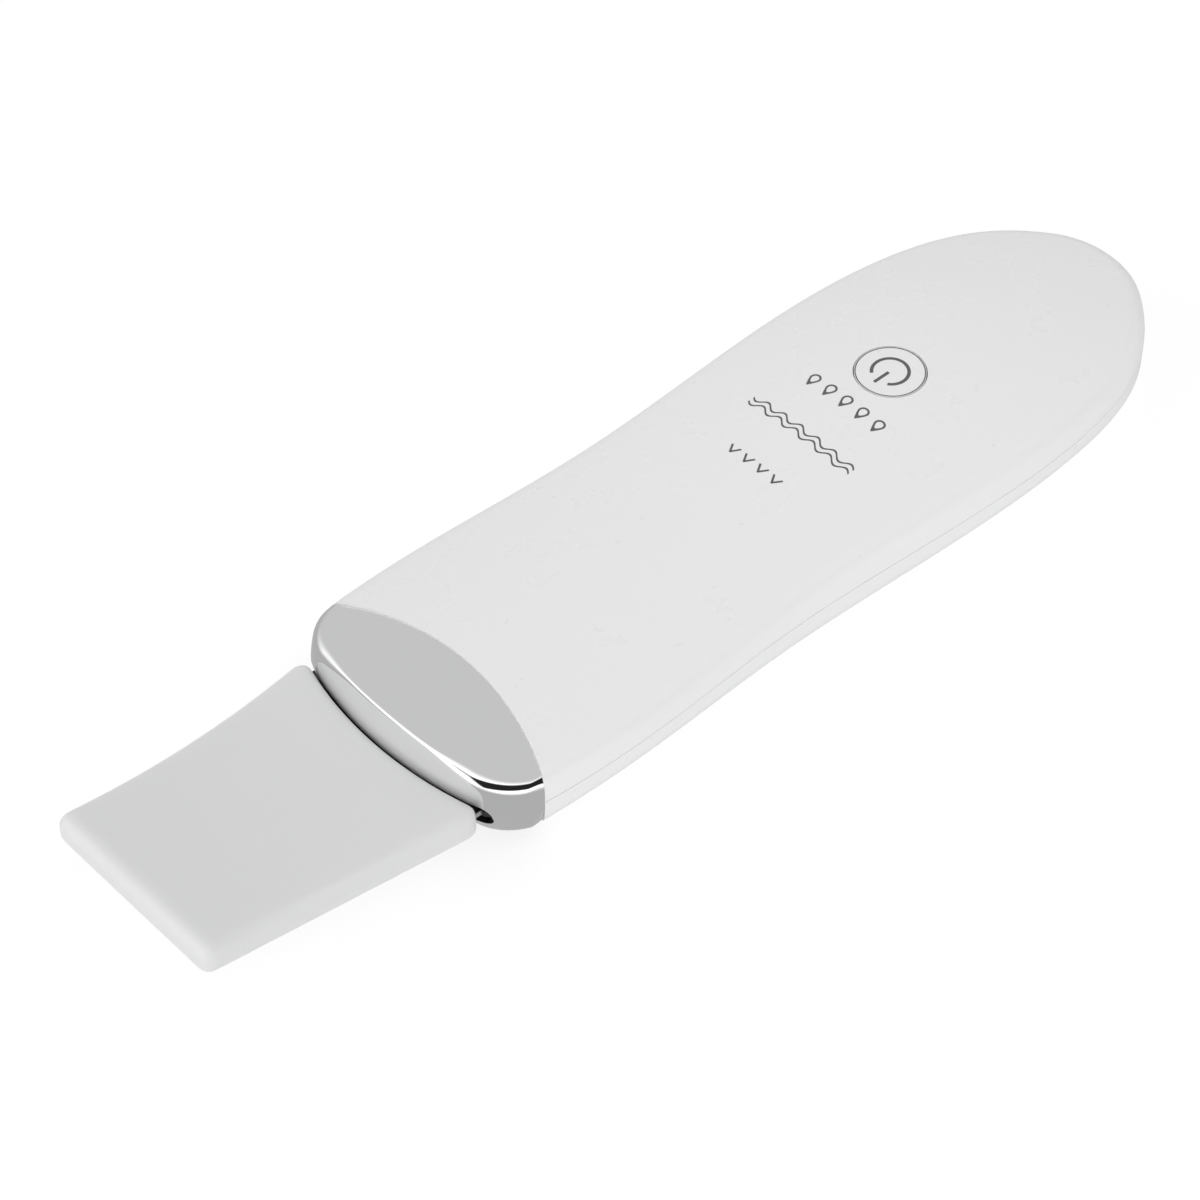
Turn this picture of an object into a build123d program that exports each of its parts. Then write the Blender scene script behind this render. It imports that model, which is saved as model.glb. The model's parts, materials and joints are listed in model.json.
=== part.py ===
"""Ultrasonic skin scrubber with a silicone blade cap, modelled as its separate pieces.

Frame: millimetres, +X along the handle from the blade to the tail, +Z up through the
front cover.  The pieces are drawn about a datum near the middle of the handle, and each
is moved along X as it is saved, so that the origin is under the middle of the length.
"""
import os

from build123d import *

os.makedirs("parts", exist_ok=True)

# ---------------------------------------------------------------- driving dimensions
TAIL_X = 85.2
CAP_TIP_X = -86.6
LENGTH = TAIL_X - CAP_TIP_X
MIDDLE_X = (TAIL_X + CAP_TIP_X) / 2
SEAM_Z = 8.0  # parting plane of the two covers
WALL = 1.6
FLOOR_Z = 1.6  # inside floor of the rear cover
FAR = 60.0  # reach of construction solids past the object

# half width of the handle at stations along X
PLAN_STATIONS = [
    (-60.0, 18.8),
    (-38.4, 20.7),
    (-23.6, 21.3),
    (3.9, 20.15),
    (42.4, 21.55),
    (58.7, 20.7),
    (68.0, 18.7),
    (75.6, 15.0),
    (81.4, 9.6),
    (TAIL_X, 0.0),
]
# crown of the front cover: X, height over the seam, radius across the handle
TOP_CROWN = [
    (-60.0, 5.2, 100.0),
    (-25.0, 5.9, 90.0),
    (17.0, 6.8, 72.0),
    (41.4, 7.6, 66.0),
    (64.0, 6.8, 60.0),
    (80.0, 4.5, 58.0),
    (94.0, 1.2, 58.0),
]
# crown of the rear cover, before the flat that it rests on is cut
BOTTOM_CROWN = [
    (-60.0, 7.8, 60.0),
    (-36.0, 8.4, 60.0),
    (-2.0, 8.7, 54.0),
    (36.0, 8.9, 52.0),
    (62.0, 8.5, 50.0),
    (80.0, 7.3, 50.0),
    (94.0, 5.0, 50.0),
]
CROWN_HALF = 30.0  # half width of a crown's section
TOP_EDGE_R = 3.2  # soft shoulder between the front crown and the side wall
BOTTOM_EDGE_R = 4.0
LEAST_EDGE_R = 0.5  # an inner corner sharper than this stays sharp
SEAM_LINE = 0.06  # half height of the fine groove along the seam
SEAM_DEPTH = 0.15
LIP_DROP = 1.2  # locating lip of the front cover inside the rear one
LIP_THICKNESS = 0.9
FIT = 0.1  # play of a part that is set into another
LIP_X = (-26.0, 70.0)
REAR_BOSS_TOP = 4.2
BOARD_BOSS_FOOT = 1.7
FRONT_BOSS_TOP = 14.1
SCREW_DEPTH = 5.0

# plated head
BORDER_X = -34.0  # middle of the arc where the plating meets the covers
BORDER_R = 45.0
BORDER_GAP = 0.12
NOSE_X = -48.1  # foremost point of the head
NOSE_BOW_R = 55.0
NOSE_HALF = 20.9
NOSE_CORNER_R = 9.2
NOSE_BACK_X = -20.0
NOSE_STEP = 7.9  # height over and under the slot where the nose has drawn back
NOSE_TOP_SETBACK = 1.4
NOSE_BOTTOM_SETBACK = 3.8
HEAD_WALL = 2.9
NOSE_WALL = 2.5
COLLAR_DEPTH = 4.0
SLOT_Z = 6.8
SLOT_WIDTH = 34.0
SLOT_HEIGHT = 3.4
GASKET_SETBACK = 1.6
GASKET_FLANGE = 1.2
GASKET_RIM = 0.6
GASKET_SEAT = 0.25  # how far behind the slot's wall the flange starts

# blade and cap, both bent to one arc about a far centre over the handle
BEND_R = 205.0
BEND_X = -47.9
BLADE_THICKNESS = 0.8
BLADE_TIP_X = -84.6
BLADE_ROOT_HALF = 15.8
BLADE_TIP_HALF = 12.9
BLADE_CORNER_R = 1.5
TAB_HALF = 6.0  # tab that is held by the horn
TAB_SHOULDERS = (-40.0, -34.0)
TAB_END_X = -23.0
CAP_THICKNESS = 4.6
CAP_BACK_HALF = 17.6
CAP_TIP_HALF = 14.7
CAP_CORNER_R = 1.8
TIP_OVERRUN = 1.0  # how far a bent layer is made past its tip before it is trimmed
CAP_EDGE_R = 1.7
CAP_GAP = 0.45  # air between the cap and the nose
CAP_FIT = 0.12  # air between the cap and the blade

# transducer, on an axis along X through the blade's root
HORN_JAW = (-30.0, -21.0)
JAW_HALF = 7.0
JAW_HEIGHT = 6.0
JAW_CHAMFER = 1.5
STACK_R = 4.0
HORN_END_X = -10.0
NODE_FLANGE_X = -13.5
NODE_FLANGE_R = 4.4
NODE_FLANGE = 1.2
DAMPER_R = 4.6
DAMPER_WIDTH = 1.5
SHIM = 0.2
RING_LENGTH = 2.5
RING_BORE_R = 1.8
BACK_MASS_LENGTH = 10.0
BOLT_R = 1.5
BOLT_HEAD_R = 2.75
BOLT_HEAD = 2.4
BOLT_START_X = -16.0
TAB_LENGTH = 1.6
SADDLE_X = (-17.0, -10.2)
STRAP_X = (-16.0, -11.0)
STRAP = 0.4
STRAP_FOOT_Y = 9.4
STRAP_SCREW_Y = 7.4

# board, battery, switch and socket
BOARD_Z = 9.6
BOARD = 1.0
BOARD_START_X = 9.0
BOARD_STEP_X = 62.0
BOARD_END_X = 78.5
BOARD_HALF = 12.4
BOARD_TAIL_HALF = 6.0
BATTERY_X = (14.0, 50.0)
BATTERY_HALF = 10.0
BATTERY_THICKNESS = 6.0
FOAM = 0.6
BOARD_BOSSES = [(11.0, 9.8), (11.0, -9.8), (57.0, 9.6), (57.0, -9.6)]
BOSS_R = 2.2
COVER_SCREWS = [(11.0, 0.0), (54.5, 0.0)]
COVER_BOSS_R = 3.0
SCREW_R = 0.8
SCREW_HEAD_R = 1.8
RECESS = (0.5, 1.8)  # width and length of each arm of a screw's cross
BOSS_CLEARANCE = 0.3
BOARD_CHAMFER = 1.0
LIGHT = (0.8, 1.6, 0.7)
CHIP_HEIGHT = 1.1
CHEEK_RIM = 0.5  # how far the coil's cheeks stand over its winding
BATTERY_EDGE_R = 1.5
FOAM_INSET = 2.0
SOCKET_FLAT = 0.05
TONGUE_SETBACK = 0.8
TAB_WIDTH = 2.0
TAB_ROOT = 0.5
BACK_MASS_CHAMFER = 0.5
SCREW_HEAD = 1.0
COIL_X = 68.0
COIL_R = 4.5
COIL_CORE_R = 1.6
COIL_HEIGHT = 5.0
COIL_CHEEK = 0.8
SOCKET_X = (75.5, 84.0)
SOCKET_WIDTH = 9.0
SOCKET_HEIGHT = 3.2
SOCKET_SHEET = 0.25
PORT_CLEARANCE = 0.15
TONGUE = (6.7, 0.7)
SOCKET_BACK = 0.8
WIRE_R = 0.4
LEAD_RADIUS = 2.4
LEAD_END_X = 10.6
FOAM_HALF = 8.0
DRIVER_CHIPS = [(22.0, 7.6, 5.0, 5.0), (51.0, 7.6, 5.0, 4.0), (24.0, -8.0, 6.0, 3.9)]

# button, switch and marks
BUTTON_X = 41.2
BUTTON_R = 4.85
BUTTON_HOLE_R = 5.0
BUTTON_TRAVEL = 0.4
BUTTON_FLANGE_R = 5.9
BUTTON_FLANGE = (12.75, 13.3)
STEM_R = 1.6
SWITCH_SIDE = 6.0
SWITCH_TOP = 12.0
PLUNGER_R = 1.0
PLUNGER = (11.55, 12.4)
PLUNGER_PLAY = 0.05
MODE_X = [32.9, 24.6, 16.3]  # the three modes, each lit from behind

# contact plate under the handle
PLATE_X = (4.0, 61.0)
PLATE_HALF = 6.0
PLATE = 0.8
PIN_X = 59.0
PIN_R = 0.9


# ---------------------------------------------------------------- shared shapes
def plan(inset):
    """Outline of the handle seen from above, drawn in by an inset."""
    points = [
        (x - inset * max(x, 0.0) / TAIL_X, max(half - inset, 0.0))
        for x, half in PLAN_STATIONS
    ]
    start_x = PLAN_STATIONS[0][0]
    with BuildSketch(Plane.XY.offset(SEAM_Z)) as outline:
        with BuildLine():
            side = Spline(*points, tangents=[(1, 0.01), (0, -1)])
            Polyline(side @ 0, (start_x, 0), side @ 1)
        make_face()
        mirror(about=Plane.XZ)
    return outline.sketch


def crown(stations, inset, direction):
    """Solid under (direction 1) or over (-1) a crowned surface along the handle."""
    with BuildPart() as solid:
        for x, height, radius in stations:
            peak = height - inset
            edge = peak - (radius - (radius**2 - CROWN_HALF**2) ** 0.5)
            with BuildSketch(Plane.YZ.offset(x)):
                with BuildLine():
                    arc = ThreePointArc(
                        (-CROWN_HALF, SEAM_Z + direction * edge),
                        (0, SEAM_Z + direction * peak),
                        (CROWN_HALF, SEAM_Z + direction * edge),
                    )
                    base = SEAM_Z - direction * CROWN_HALF
                    Polyline(arc @ 0, (-CROWN_HALF, base), (CROWN_HALF, base), arc @ 1)
                make_face()
        loft()
    return solid.part


def rims(builder):
    """The long edges that run round a body, from the lowest to the highest."""
    long_edges = builder.edges().filter_by(lambda edge: edge.length > LENGTH)
    return long_edges.sort_by(Axis.Z)


def envelope(inset):
    """Outer form of both covers together, drawn in by an inset."""
    with BuildPart() as body:
        add(plan(inset))
        extrude(amount=FAR, both=True)
        add(crown(TOP_CROWN, inset, 1), mode=Mode.INTERSECT)
        add(crown(BOTTOM_CROWN, inset, -1), mode=Mode.INTERSECT)
        if TOP_EDGE_R - inset > LEAST_EDGE_R:
            fillet(rims(body)[-1], TOP_EDGE_R - inset)
        if BOTTOM_EDGE_R - inset > LEAST_EDGE_R:
            fillet(rims(body)[0], BOTTOM_EDGE_R - inset)
    return body.part


def slab(low, high):
    """Everything between two heights."""
    with BuildPart() as layer:
        with BuildSketch(Plane.XY.offset(low)):
            Rectangle(2 * LENGTH, 2 * FAR)
        extrude(amount=high - low)
    return layer.part


def plan_prism(inset, low, high):
    """Upright prism on the handle's outline, drawn in by an inset."""
    with BuildPart() as prism:
        add(plan(inset))
        extrude(amount=high - low)
    return prism.part.moved(Location((0, 0, low - SEAM_Z)))


def border_disc(grow):
    """Everything on the blade's side of the plating's border, grown by a distance."""
    with BuildPart() as disc:
        with BuildSketch(Plane.XY.offset(-FAR)):
            with Locations((BORDER_X - BORDER_R, 0)):
                Circle(BORDER_R + grow)
        extrude(amount=2 * FAR)
    return disc.part


def nose_sketch(height, setback, corner=NOSE_CORNER_R):
    """Bowed front of the head in plan, at a height, moved back by a setback."""
    front = NOSE_X + setback
    sag = NOSE_BOW_R - (NOSE_BOW_R**2 - NOSE_HALF**2) ** 0.5
    with BuildSketch(Plane.XY.offset(height)) as outline:
        with BuildLine():
            bow = ThreePointArc((front + sag, -NOSE_HALF), (front, 0), (front + sag, NOSE_HALF))
            Polyline(bow @ 0, (NOSE_BACK_X, -NOSE_HALF), (NOSE_BACK_X, NOSE_HALF), bow @ 1)
        make_face()
        fillet(outline.vertices().group_by(Axis.X)[0], corner)
    return outline.sketch


def nose(setback):
    """Barrel-fronted solid that bounds the head, moved back by a setback."""
    with BuildPart() as solid:
        add(nose_sketch(SLOT_Z - NOSE_STEP, setback + NOSE_BOTTOM_SETBACK))
        add(nose_sketch(SLOT_Z, setback))
        add(nose_sketch(SLOT_Z + NOSE_STEP, setback + NOSE_TOP_SETBACK))
        loft()
    return solid.part


def bowed_wall(front, back):
    """Tall wall that follows the nose's bow between two setbacks."""
    with BuildPart() as rear:
        add(nose_sketch(-FAR, back))
        extrude(amount=2 * FAR)
    with BuildPart() as wall:
        add(nose_sketch(-FAR, front))
        extrude(amount=2 * FAR)
        add(rear.part, mode=Mode.SUBTRACT)
    return wall.part


def slot_bar(width, height):
    """Round-ended bar along X through the middle of the slot."""
    with BuildPart() as bar:
        with BuildSketch(Plane.YZ.offset(-FAR)):
            with Locations((0, SLOT_Z)):
                SlotOverall(width, height)
        extrude(amount=FAR)
    return bar.part


def bent_sheet(thickness, end_x):
    """Sheet bent about the far centre, from the nose to end_x, as wide as construction."""
    centre_z = SLOT_Z + BEND_R
    with BuildPart() as sheet:
        with BuildSketch(Plane.XZ):
            with Locations((BEND_X, centre_z)):
                Circle(BEND_R + thickness / 2)
                Circle(BEND_R - thickness / 2, mode=Mode.SUBTRACT)
            with Locations(((BEND_X + end_x) / 2, SLOT_Z + thickness)):
                Rectangle(BEND_X - end_x, 6 * thickness, mode=Mode.INTERSECT)
        extrude(amount=FAR, both=True)
    return sheet.part


def rod(radius, start_x, end_x):
    """Round bar along the transducer's axis."""
    with BuildPart() as bar:
        with BuildSketch(Plane.YZ.offset(start_x)):
            with Locations((0, SLOT_Z)):
                Circle(radius)
        extrude(amount=end_x - start_x)
    return bar.part


def post(x, y, radius, low, high):
    """Upright round post."""
    with BuildPart() as bar:
        with BuildSketch(Plane.XY.offset(low)):
            with Locations((x, y)):
                Circle(radius)
        extrude(amount=high - low)
    return bar.part


def block(x_range, y_range, z_range):
    """Box between two corners."""
    with BuildPart() as box:
        with BuildSketch(Plane.XY.offset(z_range[0])):
            with Locations(((x_range[0] + x_range[1]) / 2, (y_range[0] + y_range[1]) / 2)):
                Rectangle(x_range[1] - x_range[0], y_range[1] - y_range[0])
        extrude(amount=z_range[1] - z_range[0])
    return box.part


def wire(route, radii):
    """Round lead along straight runs joined by arcs."""
    with BuildPart() as lead:
        with BuildLine() as path:
            FilletPolyline(*route, radius=radii)
        with BuildSketch(Plane(origin=path.line @ 0, z_dir=path.line % 0)):
            Circle(WIRE_R)
        sweep()
    return lead.part


def save(part, name):
    """Move a finished piece to the part's origin, label it and write it out."""
    moved = part.moved(Location((-MIDDLE_X, 0, 0)))
    moved.label = name
    export_step(moved, f"parts/{name}.step")


outside = envelope(0.0)
covers_zone = border_disc(BORDER_GAP)

with BuildPart() as shell:
    add(outside)
    add(envelope(WALL), mode=Mode.SUBTRACT)
    add(covers_zone, mode=Mode.SUBTRACT)

with BuildPart() as seam_groove:
    add(slab(SEAM_Z - SEAM_LINE, SEAM_Z + SEAM_LINE))
    add(plan_prism(SEAM_DEPTH, 0, 2 * SEAM_Z), mode=Mode.SUBTRACT)

with BuildPart() as port:
    with BuildSketch(Plane.YZ.offset(SOCKET_X[0])):
        with Locations((0, SEAM_Z)):
            width = SOCKET_WIDTH + 2 * PORT_CLEARANCE
            RectangleRounded(width, SOCKET_HEIGHT + 2 * PORT_CLEARANCE, SOCKET_HEIGHT / 2)
    extrude(amount=FAR)

# ---------------------------------------------------------------- front cover
lip_end = SEAM_Z - LIP_DROP
with BuildPart() as lip:
    add(plan_prism(WALL - FIT, SEAM_Z, SEAM_Z + LIP_DROP))
    add(plan_prism(WALL + FIT, lip_end, SEAM_Z))
    add(plan_prism(WALL + LIP_THICKNESS, 0, 2 * SEAM_Z), mode=Mode.SUBTRACT)
    add(block(LIP_X, (-FAR, FAR), (0, 2 * SEAM_Z)), mode=Mode.INTERSECT)

with BuildPart() as front_cover:
    add(shell.part)
    add(slab(SEAM_Z, SEAM_Z + FAR), mode=Mode.INTERSECT)
    add(lip.part)
    for x, y in COVER_SCREWS:
        add(post(x, y, BOSS_R, REAR_BOSS_TOP, FRONT_BOSS_TOP))
    for x, y in COVER_SCREWS:
        add(post(x, y, SCREW_R, 0.0, BOARD_Z), mode=Mode.SUBTRACT)
    add(post(BUTTON_X, 0.0, BUTTON_HOLE_R, SEAM_Z + BOARD, 3 * SEAM_Z), mode=Mode.SUBTRACT)
    add(seam_groove.part, mode=Mode.SUBTRACT)
    add(port.part, mode=Mode.SUBTRACT)
save(front_cover.part, "front_cover")

# ---------------------------------------------------------------- rear cover
plate_centre = (PLATE_X[0] + PLATE_X[1]) / 2
plate_length = PLATE_X[1] - PLATE_X[0]
with BuildPart() as floor:
    add(outside)
    add(slab(-FAR, FLOOR_Z), mode=Mode.INTERSECT)
    add(covers_zone, mode=Mode.SUBTRACT)

with BuildPart() as rear_cover:
    add(shell.part)
    add(slab(-FAR, SEAM_Z), mode=Mode.INTERSECT)
    add(floor.part)
    for x, y in COVER_SCREWS:
        add(post(x, y, COVER_BOSS_R, 0.0, REAR_BOSS_TOP))
    for x, y in BOARD_BOSSES:
        add(post(x, y, BOSS_R, BOARD_BOSS_FOOT, BOARD_Z))
    for side in (-1, 1):
        foot = (side * DAMPER_R, side * STRAP_FOOT_Y)
        add(block(SADDLE_X, (min(foot), max(foot)), (FLOOR_Z / 2, SLOT_Z)))
    add(slab(-FAR, 0.0), mode=Mode.SUBTRACT)
    for x, y in BOARD_BOSSES:
        add(post(x, y, SCREW_R, BOARD_Z - SCREW_DEPTH, BOARD_Z), mode=Mode.SUBTRACT)
    for x, y in COVER_SCREWS:
        add(post(x, y, SCREW_R, 0.0, BOARD_Z), mode=Mode.SUBTRACT)
        add(post(x, y, SCREW_HEAD_R, 0.0, PLATE + SCREW_HEAD), mode=Mode.SUBTRACT)
    for y in (-STRAP_SCREW_Y, STRAP_SCREW_Y):
        low = SLOT_Z - SCREW_DEPTH + STRAP
        add(post(NODE_FLANGE_X, y, SCREW_R, low, SLOT_Z), mode=Mode.SUBTRACT)
    with BuildSketch(Plane.XY):
        with Locations((plate_centre, 0)):
            SlotOverall(plate_length, 2 * PLATE_HALF)
    extrude(amount=PLATE, mode=Mode.SUBTRACT)
    add(post(PIN_X, 0.0, PIN_R, 0.0, FLOOR_Z), mode=Mode.SUBTRACT)
    add(seam_groove.part, mode=Mode.SUBTRACT)
    add(port.part, mode=Mode.SUBTRACT)
save(rear_cover.part, "rear_cover")

# ---------------------------------------------------------------- plated head
with BuildPart() as collar:
    add(envelope(WALL + FIT))
    add(border_disc(COLLAR_DEPTH), mode=Mode.INTERSECT)
    add(nose(NOSE_WALL), mode=Mode.INTERSECT)
    add(slab(FLOOR_Z + FIT, 2 * SEAM_Z), mode=Mode.INTERSECT)

with BuildPart() as core:
    add(envelope(HEAD_WALL))
    add(nose(NOSE_WALL), mode=Mode.INTERSECT)

with BuildPart() as head_shell:
    add(outside)
    add(nose(0.0), mode=Mode.INTERSECT)
    add(border_disc(0.0), mode=Mode.INTERSECT)
    add(collar.part)
    add(core.part, mode=Mode.SUBTRACT)
    add(slot_bar(SLOT_WIDTH, SLOT_HEIGHT), mode=Mode.SUBTRACT)
    add(slab(-FAR, 0.0), mode=Mode.SUBTRACT)
save(head_shell.part, "head_shell")

# ---------------------------------------------------------------- blade
def blade_layer(thickness, tip_x):
    """Layer that follows the blade: bent ahead of the head and straight inside it."""
    half = thickness / 2
    with BuildPart() as layer:
        add(bent_sheet(thickness, tip_x - TIP_OVERRUN))
        add(block((BEND_X, TAB_END_X), (-FAR, FAR), (SLOT_Z - half, SLOT_Z + half)))
    return layer.part


root_x = BEND_X + BLADE_THICKNESS
with BuildPart() as blade:
    with BuildSketch(Plane.XY) as blade_plan:
        with BuildLine():
            Polyline(
                (BLADE_TIP_X, -BLADE_TIP_HALF),
                (root_x, -BLADE_ROOT_HALF),
                (TAB_SHOULDERS[0], -BLADE_ROOT_HALF),
                (TAB_SHOULDERS[1], -TAB_HALF),
                (TAB_END_X, -TAB_HALF),
                (TAB_END_X, TAB_HALF),
                (TAB_SHOULDERS[1], TAB_HALF),
                (TAB_SHOULDERS[0], BLADE_ROOT_HALF),
                (root_x, BLADE_ROOT_HALF),
                (BLADE_TIP_X, BLADE_TIP_HALF),
                close=True,
            )
        make_face()
        fillet(blade_plan.vertices().group_by(Axis.X)[0], BLADE_CORNER_R)
    extrude(amount=FAR)
    add(blade_layer(BLADE_THICKNESS, BLADE_TIP_X), mode=Mode.INTERSECT)
save(blade.part, "blade")

gasket_seat = NOSE_WALL + GASKET_SEAT
with BuildPart() as flange:
    add(slot_bar(SLOT_WIDTH + 2 * GASKET_RIM, SLOT_HEIGHT + 2 * GASKET_RIM))
    add(bowed_wall(gasket_seat, NOSE_WALL + GASKET_FLANGE), mode=Mode.INTERSECT)

with BuildPart() as slot_gasket:
    add(slot_bar(SLOT_WIDTH, SLOT_HEIGHT))
    add(bowed_wall(GASKET_SETBACK, gasket_seat), mode=Mode.INTERSECT)
    add(flange.part)
    add(head_shell.part, mode=Mode.SUBTRACT)
    add(blade.part, mode=Mode.SUBTRACT)
save(slot_gasket.part, "slot_gasket")

# ---------------------------------------------------------------- silicone cap
pocket_tip = BLADE_TIP_X - CAP_FIT
pocket_root = NOSE_X + NOSE_WALL
pocket_tip_half = BLADE_TIP_HALF + CAP_FIT
pocket_root_half = BLADE_ROOT_HALF + CAP_FIT
with BuildPart() as pocket:
    with BuildSketch(Plane.XY) as pocket_plan:
        with BuildLine():
            Polyline(
                (pocket_tip, -pocket_tip_half),
                (root_x, -pocket_root_half),
                (pocket_root, -pocket_root_half),
                (pocket_root, pocket_root_half),
                (root_x, pocket_root_half),
                (pocket_tip, pocket_tip_half),
                close=True,
            )
        make_face()
        fillet(pocket_plan.vertices().group_by(Axis.X)[0], BLADE_CORNER_R)
    extrude(amount=FAR)
    add(blade_layer(BLADE_THICKNESS + 2 * CAP_FIT, BLADE_TIP_X), mode=Mode.INTERSECT)

cap_back = NOSE_X - CAP_GAP
cap_sag = NOSE_BOW_R - (NOSE_BOW_R**2 - CAP_BACK_HALF**2) ** 0.5
cap_corner = (cap_back + cap_sag, CAP_BACK_HALF)
with BuildPart() as blade_cap:
    with BuildSketch(Plane.XY) as cap_plan:
        with BuildLine():
            bow = ThreePointArc((cap_corner[0], -cap_corner[1]), (cap_back, 0), cap_corner)
            Polyline(bow @ 1, (CAP_TIP_X, CAP_TIP_HALF), (CAP_TIP_X, -CAP_TIP_HALF), bow @ 0)
        make_face()
        fillet(cap_plan.vertices(), CAP_CORNER_R)
    extrude(amount=FAR)
    add(blade_layer(CAP_THICKNESS, CAP_TIP_X), mode=Mode.INTERSECT)
    fillet(blade_cap.edges(), CAP_EDGE_R)
    add(pocket.part, mode=Mode.SUBTRACT)
save(blade_cap.part, "blade_cap")

# ---------------------------------------------------------------- transducer
jaw_half_z = JAW_HEIGHT / 2
with BuildPart() as horn:
    add(block(HORN_JAW, (-JAW_HALF, JAW_HALF), (SLOT_Z - jaw_half_z, SLOT_Z + jaw_half_z)))
    chamfer(horn.edges().filter_by(Axis.Z), JAW_CHAMFER)
    add(rod(STACK_R, HORN_JAW[1], HORN_END_X))
    add(rod(NODE_FLANGE_R, NODE_FLANGE_X - NODE_FLANGE / 2, NODE_FLANGE_X + NODE_FLANGE / 2))
    add(rod(BOLT_R, BOLT_START_X, HORN_END_X), mode=Mode.SUBTRACT)
    add(blade.part, mode=Mode.SUBTRACT)
save(horn.part, "horn")

flange_faces = (NODE_FLANGE_X - NODE_FLANGE / 2, NODE_FLANGE_X + NODE_FLANGE / 2)
with BuildPart() as damper_rings:
    add(rod(DAMPER_R, flange_faces[0] - DAMPER_WIDTH, flange_faces[0]))
    add(rod(DAMPER_R, flange_faces[1], flange_faces[1] + DAMPER_WIDTH))
    add(rod(STACK_R, flange_faces[0] - FAR, flange_faces[1] + FAR), mode=Mode.SUBTRACT)
save(damper_rings.part, "damper_rings")

shim_x = [HORN_END_X, HORN_END_X + SHIM + RING_LENGTH]
with BuildPart() as piezo_rings:
    for x in shim_x:
        add(rod(STACK_R, x + SHIM, x + SHIM + RING_LENGTH))
    add(rod(RING_BORE_R, HORN_END_X, HORN_END_X + FAR), mode=Mode.SUBTRACT)
save(piezo_rings.part, "piezo_rings")

tab_low = SLOT_Z - TAB_WIDTH / 2
tab_high = SLOT_Z + TAB_WIDTH / 2
with BuildPart() as electrode_shims:
    for x, side in zip(shim_x, (1, -1)):
        tab = sorted((side * (STACK_R - TAB_ROOT), side * (STACK_R + TAB_LENGTH)))
        add(rod(STACK_R, x, x + SHIM))
        add(block((x, x + SHIM), tab, (tab_low, tab_high)))
    add(rod(RING_BORE_R, HORN_END_X, HORN_END_X + FAR), mode=Mode.SUBTRACT)
save(electrode_shims.part, "electrode_shims")

stack_end = shim_x[1] + SHIM + RING_LENGTH
mass_end = stack_end + BACK_MASS_LENGTH
with BuildPart() as back_mass:
    add(rod(STACK_R, stack_end, mass_end))
    add(rod(BOLT_R, stack_end, mass_end), mode=Mode.SUBTRACT)
    end_edges = back_mass.edges().filter_by(GeomType.CIRCLE).group_by(Axis.X)[-1]
    chamfer(end_edges.sort_by(SortBy.RADIUS)[-1], BACK_MASS_CHAMFER)
save(back_mass.part, "back_mass")

with BuildPart() as clamp_bolt:
    add(rod(BOLT_R, BOLT_START_X, mass_end))
    add(rod(BOLT_HEAD_R, mass_end, mass_end + BOLT_HEAD))
    with BuildSketch(Plane.YZ.offset(mass_end + BOLT_HEAD)):
        with Locations((0, SLOT_Z)):
            RegularPolygon(radius=BOLT_HEAD_R / 2, side_count=6)
    extrude(amount=-BOLT_HEAD / 2, mode=Mode.SUBTRACT)
save(clamp_bolt.part, "clamp_bolt")

with BuildPart() as transducer_strap:
    add(rod(DAMPER_R + STRAP, *STRAP_X))
    for side in (-1, 1):
        foot = sorted((side * DAMPER_R, side * STRAP_FOOT_Y))
        add(block(STRAP_X, foot, (SLOT_Z, SLOT_Z + STRAP)))
    add(rod(DAMPER_R, -FAR, FAR), mode=Mode.SUBTRACT)
    add(slab(-FAR, SLOT_Z), mode=Mode.SUBTRACT)
    for y in (-STRAP_SCREW_Y, STRAP_SCREW_Y):
        add(post(NODE_FLANGE_X, y, SCREW_R, 0.0, 2 * SEAM_Z), mode=Mode.SUBTRACT)
save(transducer_strap.part, "transducer_strap")


def screws(places, seat_z, direction):
    """Cross-head screws whose heads bear on a face, pointing down (-1) or up (1)."""
    with BuildPart() as group:
        for x, y in places:
            shank = sorted((seat_z, seat_z + direction * SCREW_DEPTH))
            head = sorted((seat_z, seat_z - direction * SCREW_HEAD))
            add(post(x, y, SCREW_R, *shank))
            add(post(x, y, SCREW_HEAD_R, *head))
            recess = sorted((seat_z - direction * SCREW_HEAD, seat_z - direction * SCREW_HEAD / 2))
            for width, depth in (RECESS, RECESS[::-1]):
                x_range = (x - width / 2, x + width / 2)
                y_range = (y - depth / 2, y + depth / 2)
                add(block(x_range, y_range, recess), mode=Mode.SUBTRACT)
    return group.part


strap_places = [(NODE_FLANGE_X, -STRAP_SCREW_Y), (NODE_FLANGE_X, STRAP_SCREW_Y)]
save(screws(strap_places, SLOT_Z + STRAP, -1), "strap_screws")

# ---------------------------------------------------------------- board and battery
board_top = BOARD_Z + BOARD
with BuildPart() as main_board:
    add(block((BOARD_START_X, BOARD_STEP_X), (-BOARD_HALF, BOARD_HALF), (BOARD_Z, board_top)))
    chamfer(main_board.edges().filter_by(Axis.Z), BOARD_CHAMFER)
    tail_x = (BOARD_STEP_X - BOARD_CHAMFER, BOARD_END_X)
    add(block(tail_x, (-BOARD_TAIL_HALF, BOARD_TAIL_HALF), (BOARD_Z, board_top)))
    for x, y in COVER_SCREWS:
        add(post(x, y, BOSS_R + BOSS_CLEARANCE, 0.0, 2 * SEAM_Z), mode=Mode.SUBTRACT)
    for x, y in BOARD_BOSSES:
        add(post(x, y, SCREW_R, 0.0, 2 * SEAM_Z), mode=Mode.SUBTRACT)
save(main_board.part, "main_board")
save(screws(BOARD_BOSSES, board_top, -1), "board_screws")
save(screws(COVER_SCREWS, PLATE + SCREW_HEAD, 1), "cover_screws")

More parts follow.
